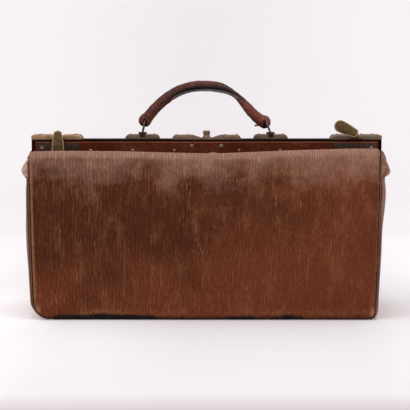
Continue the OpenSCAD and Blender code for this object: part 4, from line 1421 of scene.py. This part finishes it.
@dataclass
class Fittings:
    """Metal pieces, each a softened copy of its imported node: bevel, finish and nodes."""
    soft_edges: tuple[tuple[float, Finish, str], ...] = (
        (0.7, PALE_BRASS, "front_left_end_plate"), (0.7, OLD_BRASS, "front_right_end_plate"),
        (0.7, PALE_BRASS, "rear_left_end_plate"), (0.7, OLD_BRASS, "rear_right_end_plate"),
        (0.6, OLD_BRASS, "left_handle_plate right_handle_plate"), (0.5, OLD_BRASS, "lock_plate"),
        (0.25, OLD_BRASS, "lock_knob"), (0.15, OLD_BRASS, "front_plate_rivets rear_plate_rivets"),
        (0.35, PADDLE_BRASS, "left_catch_link right_catch_link"),
        (0.1, PADDLE_BRASS, "left_catch_rivet right_catch_rivet"),
        (0.25, DARK_PLATE, "left_catch_face_plate right_catch_face_plate"),
        (0.35, JAPANNED, "front_frame rear_frame"), (0.25, LOCK_STEEL, "lock_case"),
        (0.3, LOCK_STEEL, "lock_hasp lock_bolt"),
        (0.1, PLAIN_STEEL, "front_frame_rivets rear_frame_rivets"),
        (0.08, PLAIN_STEEL, "catch_plate_screws lock_screws"),
        (0.15, BRASS_WIRE, "left_catch_pin right_catch_pin"),
        (0.3, PLAIN_STEEL, "left_hinge_pin right_hinge_pin"))
    merge: float = 0.002
    flat_angle: float = 0.6
    sharp_angle: float = 28.0
    crease_angle: float = 42.0

    def dress(self, node: str, bevel: float, finish: Finish) -> None:
        """Makes the softened copy of one node.

        Args:
            node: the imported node.
            bevel: width of its softened edges.
            finish: its material.
        """
        bm = bmesh.new()
        bm.from_mesh(frame["nodes"][node].data)
        bmesh.ops.remove_doubles(bm, verts=bm.verts[:], dist=self.merge * MM)
        bmesh.ops.dissolve_limit(bm, angle_limit=math.radians(self.flat_angle), verts=bm.verts[:],
                                 edges=bm.edges[:])
        worn = bm.faces.layers.float.new("edge")
        sharp = [e for e in bm.edges if len(e.link_faces) == 2
                 and e.calc_face_angle(0) > math.radians(self.sharp_angle)]
        cut = bmesh.ops.bevel(bm, geom=sharp, offset=bevel * MM, affect="EDGES", segments=2,
                              profile=0.5, material=-1, clamp_overlap=True)
        for f in cut["faces"]:
            f[worn] = 1.0
        bmesh.ops.triangulate(bm, faces=[f for f in bm.faces if len(f.verts) > 4])
        body = frame["nodes"][node]["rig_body"]
        piece = MeshShop.place(bm, f"{node}_dressed", finish, Mount(body, (node,)))
        piece.data.set_sharp_from_angle(angle=math.radians(self.crease_angle))

    def build(self) -> None:
        """Makes every softened copy, and gives the base board its finish."""
        for bevel, finish, nodes in self.soft_edges:
            for node in nodes.split():
                self.dress(node, bevel, finish)
        board = frame["nodes"]["base_board"]
        board.data.materials.clear()
        board.data.materials.append(BOARD.material())


@dataclass
class Paddles:
    """Pear-shaped stamped paddles of the two catches."""
    catch_x: float = 214.5
    pin_y: float = -32.0
    pin_z: float = 255.5
    link_l: float = 6.0
    length: float = 24.0
    tip_r: float = 9.0
    neck_r: float = 6.1
    crown: float = 3.7
    turns: Pair = (180.0, 65.0)
    face_y: float = 6.05
    low_y: float = 4.8
    gauge: float = 0.9
    rim_points: int = 48

    @property
    def heart(self) -> Vector:
        """Middle of the crowned leaf, under the rivet."""
        return Vector((0, 0, -self.length * 0.72))

    def half_width(self, down: float) -> float:
        """Half width at a distance below the rivet."""
        return self.neck_r + (self.tip_r - self.neck_r) * math.sin(math.pi / 2 * min(1.0, down / self.length))

    def outline(self, count: int) -> list[Vector]:
        """Loop of the paddle's rim, in its own plane, rivet at the origin.

        Args:
            count: number of points, even.

        Returns:
            The points.
        """
        turn = [math.pi / 2 * k / 6 for k in range(7)]
        half = [(self.neck_r * math.sin(a) ** 0.8, self.crown * math.cos(a)) for a in turn]
        half += [(self.half_width(d), -d) for d in (4, 8, 12, 16, 20)]
        half += [(self.tip_r * math.cos(a), -self.length - self.tip_r * math.sin(a)) for a in turn]
        right = rail(half, count // 2)
        return [Vector((x, 0, z)) for x, z in right + [(-x, z) for x, z in right[-2:0:-1]]]

    @staticmethod
    def drawn_in(rim: list[Vector], by: float, y: float) -> list[Vector]:
        """Loop that lies inside the rim by an even distance.

        Args:
            rim: the outer loop.
            by: the distance.
            y: height of the loop over the rim's plane.

        Returns:
            The inner loop.
        """
        ways = [(q - p).normalized() for p, q in zip(rim[-1:] + rim[:-1], rim[1:] + rim[:1])]
        return [p + Vector((way.z, 0, -way.x)) * -by + Vector((0, y, 0)) for p, way in zip(rim, ways)]

    def build(self) -> None:
        """Builds both paddles, rolled at the rim and crowned in the middle."""
        face, low = self.face_y, self.low_y
        rim = self.outline(self.rim_points)
        sign = -1 if sum(p.cross(q).y for p, q in zip(rim, rim[1:] + rim[:1])) > 0 else 1
        inner = self.drawn_in(rim, 2.6 * sign, 0)
        crowned = [(0.94, face - 0.2), (0.7, face + 0.1), (0.4, face + 0.25), (0.14, face + 0.3)]
        edge = [(0.2, low), (0.0, low + 0.2), (0.0, face - 0.75), (0.45, face - 0.3), (1.0, face - 0.3),
                (1.6, face - 0.62), (2.2, face - 0.45)]
        back = [(1.9, face - 1.0), (1.0, face - 1.15), (0.85, low)]
        hollow = [(share, y - self.gauge) for share, y in crowned[:0:-1]]
        rings = [self.drawn_in(rim, by * sign, y) for by, y in edge]
        rings += [[self.heart.lerp(p, share) + Vector((0, y, 0)) for p in inner] for share, y in crowned]
        under = [[self.heart.lerp(p, share) + Vector((0, y, 0)) for p in inner] for share, y in hollow]
        under += [self.drawn_in(rim, by * sign, y) for by, y in back]
        for end in ENDS:
            bm = MeshShop.tube(rings[::-1] + under[::-1])
            # Painted highlight along the rim, stored as the paddle's edge mask.
            pale = bm.verts.layers.float.new("edge")
            for v in bm.verts:
                flat = Vector((v.co.x, 0, v.co.z)) / MM
                v[pale] = fall(min((flat - p).length for p in rim), 0.9, 1.9)
            swing = Matrix.Translation(Vector((end.sign * self.catch_x, self.pin_y, self.pin_z)) * MM) \
                @ Matrix.Rotation(math.pi, 4, "X") \
                @ Matrix.Translation(Vector((0, 0, -self.link_l)) * MM) \
                @ Matrix.Rotation(math.radians(end.pick(self.turns)), 4, "Y")
            bmesh.ops.transform(bm, matrix=swing, verts=bm.verts[:])
            MeshShop.place(bm, f"{end.word}_paddle_leaf", PADDLE_BRASS,
                           Mount(f"{end.word}_paddle", (f"{end.word}_catch_paddle",)), rounds=1)


@dataclass
class FrameStrips:
    """Red-brown leather strips on the faces of the jaws."""
    half_l: float = 248.5
    low: float = 229.5
    top: float = 249.2
    out: float = 23.0
    thick: float = 1.2
    buried: float = 0.25
    bead_in: float = 1.3

    def build(self) -> None:
        """Builds both strips with a raised bead along their upper edge."""
        tall = self.top - self.low
        for side in FACES:
            turn, name = -side.sign, side.word

            def place(u: float, v: float) -> Vector:
                """Point of the strip.

                Args:
                    u, v: shares along and up.

                Returns:
                    The point.
                """
                x, z = (2 * u - 1) * self.half_l, self.low + tall * v
                rim = min(1.0, min(v, 1 - v) * tall)
                bead = 0.28 * fall(abs(z - self.top + self.bead_in), 0.3, 0.8)
                swell = 0.10 * ripple(Vector((x, 0, z)), 30, side.sign)
                y = self.out + self.buried + (self.thick - self.buried) * ease(rim, 0, 1) + bead + swell * rim
                return Vector((x, -turn * y, z))

            def wear(p: Vector) -> float:
                """Rubbed crest of the bead, painted paler as its highlight too, and uneven wear below."""
                crest = 0.55 * fall(abs(p.z - self.top + self.bead_in), 0.4, 1.0)
                return crest + 0.18 + 0.3 * ripple(Vector((p.x, 0, p.z)), 34, 5.0)

            bm = MeshShop.sheet(260, 26, place, Vector((0, turn * 400, 238)))
            MeshShop.place(bm, f"{name}_frame_leather", STRIP_LEATHER,
                           Mount(f"{name}_jaw", (f"{name}_frame_cover",)), 0.22, {"wear": wear})


@dataclass
class Handle:
    """Rolled leather handle on its two loops."""
    staple_x: float = 94.2
    hub_y: float = 11.65
    bar_z: float = 260.7
    ring_r: float = 10.5
    ring_c: float = 7.7
    link: Triple = (1.3, 1.3, 11.2)
    staple: Triple = (3.6, 6.2, 252.6)
    bar_r: float = 1.2
    leg_deep: float = 3.2
    wall_back: float = 6.2
    wall_deep: float = 1.6
    leans: Pair = (11.0, 30.0)
    link_leans: Pair = (11.0, 22.0)
    rise: float = 52.4
    dip: float = 7.5
    dip_at: float = 0.80
    power: float = 2.3
    loop_r: float = 9.5
    loop_deep: float = 8.2
    strap_end: Triple = (8.5, 3.6, 2.6)
    grip_r: float = 7.3
    grip_thin: float = 3.0
    seam_rise: float = 1.5
    grip_end: float = 0.965
    grip_steps: int = 132
    grip_sides: int = 36

    def staple_at(self, end: Side) -> Vector:
        """Middle of one staple's bar."""
        return Vector((end.sign * self.staple_x, self.hub_y, self.bar_z))

    def loop_centre(self, end: Side) -> Vector:
        """Middle of one leather loop."""
        lean, reach = math.radians(end.pick(self.leans)), self.ring_c + self.ring_r
        return self.staple_at(end) + Vector((-end.sign * math.sin(lean), 0, math.cos(lean))) * reach

    def arch(self, u: float) -> Vector:
        """Runs along the handle's middle line.

        Args:
            u: place along it, from -1 to 1.

        Returns:
            The point.
        """
        foot = self.loop_centre(Side.LEFT).lerp(self.loop_centre(Side.RIGHT), (u + 1) / 2)
        up = self.rise * (1 - abs(u) ** self.power) - self.dip * bell(u, self.dip_at, 0.20)
        return foot + Vector((0, 0, up))

    def links(self) -> None:
        """Builds the flat links that join the loops to the staples."""
        deep, wide, tall = self.link
        for end in ENDS:
            bm = bmesh.new()
            for v in bmesh.ops.create_circle(bm, segments=14, radius=1)["verts"]:
                v.co = Vector((v.co.x * wide, 0, self.ring_r + v.co.y * deep)) * MM
            bmesh.ops.spin(bm, geom=bm.verts[:] + bm.edges[:], cent=(0, 0, 0), axis=(1, 0, 0),
                           angle=math.tau, steps=56, use_merge=True)
            bmesh.ops.recalc_face_normals(bm, faces=bm.faces[:])
            bmesh.ops.scale(bm, vec=(1, 1, tall / self.ring_r), verts=bm.verts[:])
            lean = -end.sign * math.radians(end.pick(self.link_leans))
            up = Vector((0, 0, self.ring_c + tall - self.ring_r))
            stand = Matrix.Translation(self.staple_at(end) * MM) @ Matrix.Rotation(lean, 4, "Y") \
                @ Matrix.Translation(up * MM)
            bmesh.ops.transform(bm, matrix=stand, verts=bm.verts[:])
            MeshShop.place(bm, f"{end.word}_link", BRASS_WIRE, Mount("handle", (f"{end.word}_handle_ring",)))

    def staples(self) -> None:
        """Builds the staples that hold the links: two stout legs, a bar and a low wall behind."""
        inner, outer, low = self.staple
        leg, foot = (inner + outer) / 2, low - self.bar_z
        for end in ENDS:
            bm, hub = bmesh.new(), self.staple_at(end)
            for off, back, wide, deep, top in (
                    (-leg, 0.0, outer - inner, self.leg_deep, 1.3),
                    (leg, 0.0, outer - inner, self.leg_deep, 1.3),
                    (0.0, self.wall_back, 2 * outer, self.wall_deep, -1.0)):
                for v in bmesh.ops.create_cube(bm, size=1)["verts"]:
                    up = foot + (v.co.z + 0.5) * (top - foot)
                    v.co = (hub + Vector((off + v.co.x * wide, back + v.co.y * deep, up))) * MM
            bmesh.ops.bevel(bm, geom=bm.edges[:], offset=0.7 * MM, affect="EDGES", segments=3, profile=0.5,
                            material=-1)
            bar = bmesh.ops.create_cone(bm, cap_ends=True, segments=24, radius1=self.bar_r * MM,
                                        radius2=self.bar_r * MM, depth=(2 * inner + 1) * MM)["verts"]
            lay = Matrix.Translation(hub * MM) @ Matrix.Rotation(math.pi / 2, 4, "Y")
            bmesh.ops.transform(bm, matrix=lay, verts=bar)
            MeshShop.place(bm, f"{end.word}_staple_legs", BRASS_WIRE,
                           Mount("rear_jaw", (f"{end.word}_staple",)))

    def grip_reach(self, u: float, a: float, spot: Vector) -> float:
        """Radius of the grip, with its creases and the seam underneath.

        Args:
            u: place along it, from -1 to 1.
            a: angle about its middle line, 0 on top.
            spot: the point of a plain roll there.

        Returns:
            The radius.
        """
        far, off = abs(u), abs(a - math.pi)
        plain = self.grip_r + 0.7 * far ** 3 - 0.5 * bell(far, 0.62, 0.16)
        plain -= self.grip_thin * bell(u, 0.52, 0.18)
        fine = Vector((spot.x * 1.6, spot.y * 0.4, spot.z * 1.6))
        crease = 0.32 * ripple(fine, 7, 3.0) * (1 + far) + 0.4 * ripple(spot, 24, 6.0)
        seam = self.seam_rise * bell(a, math.pi, 0.17) * (1 - 0.6 * ease(far, 0.6, 0.9))
        flat = -0.5 * max(0.0, -math.cos(a)) * fall(far, 0.3, 0.7)
        return plain + crease + seam - 0.5 * bell(off, 0.42, 0.16) + flat

    def grip(self) -> None:
        """Builds the rolled grip with the seam along its underside."""
        rings, side = [], Vector((0, 1, 0))
        for k in range(self.grip_steps + 1):
            u = -self.grip_end + 2 * self.grip_end * k / self.grip_steps
            p = self.arch(u)
            up = side.cross((self.arch(min(1, u + 0.01)) - self.arch(max(-1, u - 0.01))).normalized()) * -1
            ring = []
            for a in (math.tau * n / self.grip_sides for n in range(self.grip_sides)):
                r = self.grip_reach(u, a, p + side * math.sin(a) * 8 + up * math.cos(a) * 8)
                ring.append(p + side * math.sin(a) * (r + 0.4) + up * math.cos(a) * r)
            rings.append(ring)

        def below(p: Vector) -> float:
            """Depth of a point under the arch's middle line."""
            return self.arch(max(-1, min(1, p.x / self.staple_x))).z - p.z

        def soot(p: Vector) -> float:
            """Painted shade along the grip's lower side, above its pale underside, and a few dark patches in
            the middle.
            """
            shade_band = ease(below(p), -1.5, 3.0) * fall(below(p), 4.4, 5.6) * (1 - 0.6 * ease(abs(p.x), 50, 84))
            return 0.5 * shade_band + (0.36 + 0.5 * ripple(p, 20, 8.0)) * fall(abs(p.x), 25, 70)

        def wear(p: Vector) -> float:
            """Worn underside of the middle, with a painted highlight in its grey-white tone."""
            return 1.1 * ease(below(p), 4.6, 5.8) * fall(abs(p.x + 2), 24, 60) + 0.12 * ripple(p, 14, 2.0)

        MeshShop.place(MeshShop.tube(rings), "grip_leather", GRIP_LEATHER,
                       Mount("handle", ("handle_cover", "handle_core")), paints={"wear": wear, "soot": soot})

    def loops(self) -> None:
        """Builds the leather loops, creased where the rings pass."""
        for end in ENDS:
            centre = self.loop_centre(end)
            lean = math.radians(end.pick(self.leans)) * -end.sign
            inward = (self.arch(0.9 * end.sign) - centre).normalized()
            ring_mid = centre - Vector((math.sin(lean), 0, math.cos(lean))) * self.ring_r
            bm = bmesh.new()
            bmesh.ops.create_icosphere(bm, subdivisions=5, radius=1)
            for v in bm.verts:
                n = v.co.copy()
                p = centre + Vector((n.x * self.loop_r, n.y * self.loop_deep, n.z * self.loop_r))
                p += inward * 3.5 * max(0.0, n.dot(inward))
                off = p - ring_mid
                side_gap = abs(off.dot(Vector((math.cos(lean), 0, -math.sin(lean)))))
                press = bell(side_gap, 0, 2.1) * bell(off.length, self.ring_r + 1.0, 4.0)
                slit = bell(side_gap, 3.0, 0.9) * ease(-n.dot(inward), -0.4, 0.5)
                p -= n * (3.0 * press + 0.5 * slit - 0.35 * ripple(p, 6, 4.0 + end.sign))
                v.co = p * MM
            # The dark mask paints shade on the loop's lower half and in the crease where the ring presses in.
            MeshShop.place(bm, f"{end.word}_loop_leather", GRIP_LEATHER,
                           Mount("handle", (f"{end.word}_handle_loop",)), paints={
                               "wear": lambda p: 0.2 * ripple(p, 10, 1.0),
                               "soot": lambda p, c=centre: 0.3 * ease(c.z - p.z, 2, 8)
                               + 0.9 * fall(abs(p.x - c.x), 2, 4) * ease(c.z + 4 - p.z, 0, 4)})

    def tab(self) -> None:
        """Builds the loose end of the strap at the right loop."""
        centre, (long, wide, thick) = self.loop_centre(Side.RIGHT), self.strap_end

        def place(u: float, v: float) -> Vector:
            """Point of the loose strap end for its shares outwards and across."""
            width = wide * math.sqrt(max(0.0, 1 - (u * 0.96) ** 4))
            return centre + Vector((-6.2 - long * u, (2 * v - 1) * width, -3.0 - 1.8 * u + 0.8 * u * u))

        bm = MeshShop.sheet(12, 10, place, centre - Vector((0, 0, 40)))
        MeshShop.place(bm, "strap_end", GRIP_LEATHER, Mount("handle"), thick,
                       {"wear": lambda p: 0.3, "soot": lambda p: 0.1}, rounds=1)

    def build(self) -> None:
        """Builds the handle."""
        for step in (self.links, self.staples, self.grip, self.loops, self.tab):
            step()


@dataclass
class Studio:
    """Camera, pale floor and soft lamps. Its lengths are metres."""
    eye: Triple = (-0.0023, -2.2, 0.3395)
    aim: Triple = (0, 0, 0.14)
    pitch: float = 4.8
    lens: float = 131.7
    half_floor: float = 4.5
    flat_run: float = 6.5
    bend_run: float = 1.5
    bend_r: float = 1.2
    lamps: tuple[tuple[str, Triple, float, float], ...] = (
        ("top_softbox", (0.3, -0.5, 2.6), 2.2, 24), ("left_softbox", (-2.2, -1.6, 1.6), 1.6, 17),
        ("right_softbox", (2.4, -1.9, 1.2), 1.4, 9))

    def camera(self) -> None:
        """Stands the camera in front of the bag, a little above its ridge."""
        data = bpy.data.cameras.new("camera")
        data.lens, data.sensor_width = self.lens, 36.0
        data.clip_start, data.clip_end = 0.05, 60.0
        cam = MeshShop.stand("camera", data)
        cam.location = self.eye
        cam.rotation_euler = (math.radians(90 - self.pitch), 0, 0)
        bpy.context.scene.camera = cam

    def floor(self) -> None:
        """Lays a pale floor that sweeps up behind the bag."""
        bm = bmesh.new()
        bmesh.ops.create_grid(bm, x_segments=24, y_segments=40, size=1)
        for v in bm.verts:
            run = (v.co.y + 1) * self.half_floor
            z, y = 0.0, run - self.half_floor
            if run > self.flat_run:
                bend = min(1.0, (run - self.flat_run) / self.bend_run) * math.pi / 2
                y = self.flat_run - self.half_floor + self.bend_r * math.sin(bend)
                z = self.bend_r * (1 - math.cos(bend))
                z += max(0.0, run - self.flat_run - self.bend_run) * 3
            v.co = Vector((v.co.x * 6, y, z))
        mesh = MeshShop.keep(bm, "studio_floor")
        mesh.shade_smooth()
        obj = MeshShop.stand("studio_floor", mesh)
        mesh.materials.append(Paper("pale_paper").material())

    def lamp(self, name: str, place: Triple, size: float, watts: float) -> None:
        """Hangs one soft lamp that looks at the bag.

        Args:
            name: its name.
            place: where it hangs.
            size: edge of its square face.
            watts: its power.
        """
        data = bpy.data.lights.new(name, "AREA")
        data.shape, data.size, data.energy = "SQUARE", size, watts
        obj = MeshShop.stand(name, data)
        obj.location = place
        obj.rotation_euler = (Vector(self.aim) - Vector(place)).to_track_quat("-Z", "Y").to_euler()

    @staticmethod
    def world() -> None:
        """Sets the even light of the room."""
        world = bpy.data.worlds.new("room")
        bpy.context.scene.world = world
        world.use_nodes = True
        pad = Pad(world.node_tree)
        pad.feed(world.node_tree.nodes["Background"], {
            "Color": (1.0, 0.985, 0.99, 1), "Strength": pad.span(pad.seen(), 0.0, 1.0, 0.68, 0.86)})

    def build(self) -> None:
        """Sets up the whole studio."""
        bpy.context.scene.view_settings.view_transform = "Standard"
        self.camera()
        self.floor()
        self.world()
        for lamp in self.lamps:
            self.lamp(*lamp)


def main() -> None:
    """Builds the bag's parts in order, then the studio."""
    logging.basicConfig(level=logging.INFO, format="%(name)s: %(message)s")
    for part in (LeatherBody(), FrameStrips(), Fittings(), Paddles(), Handle(), Studio()):
        LOG.info("building %s", type(part).__name__)
        part.build()


if __name__ == "__main__":
    main()
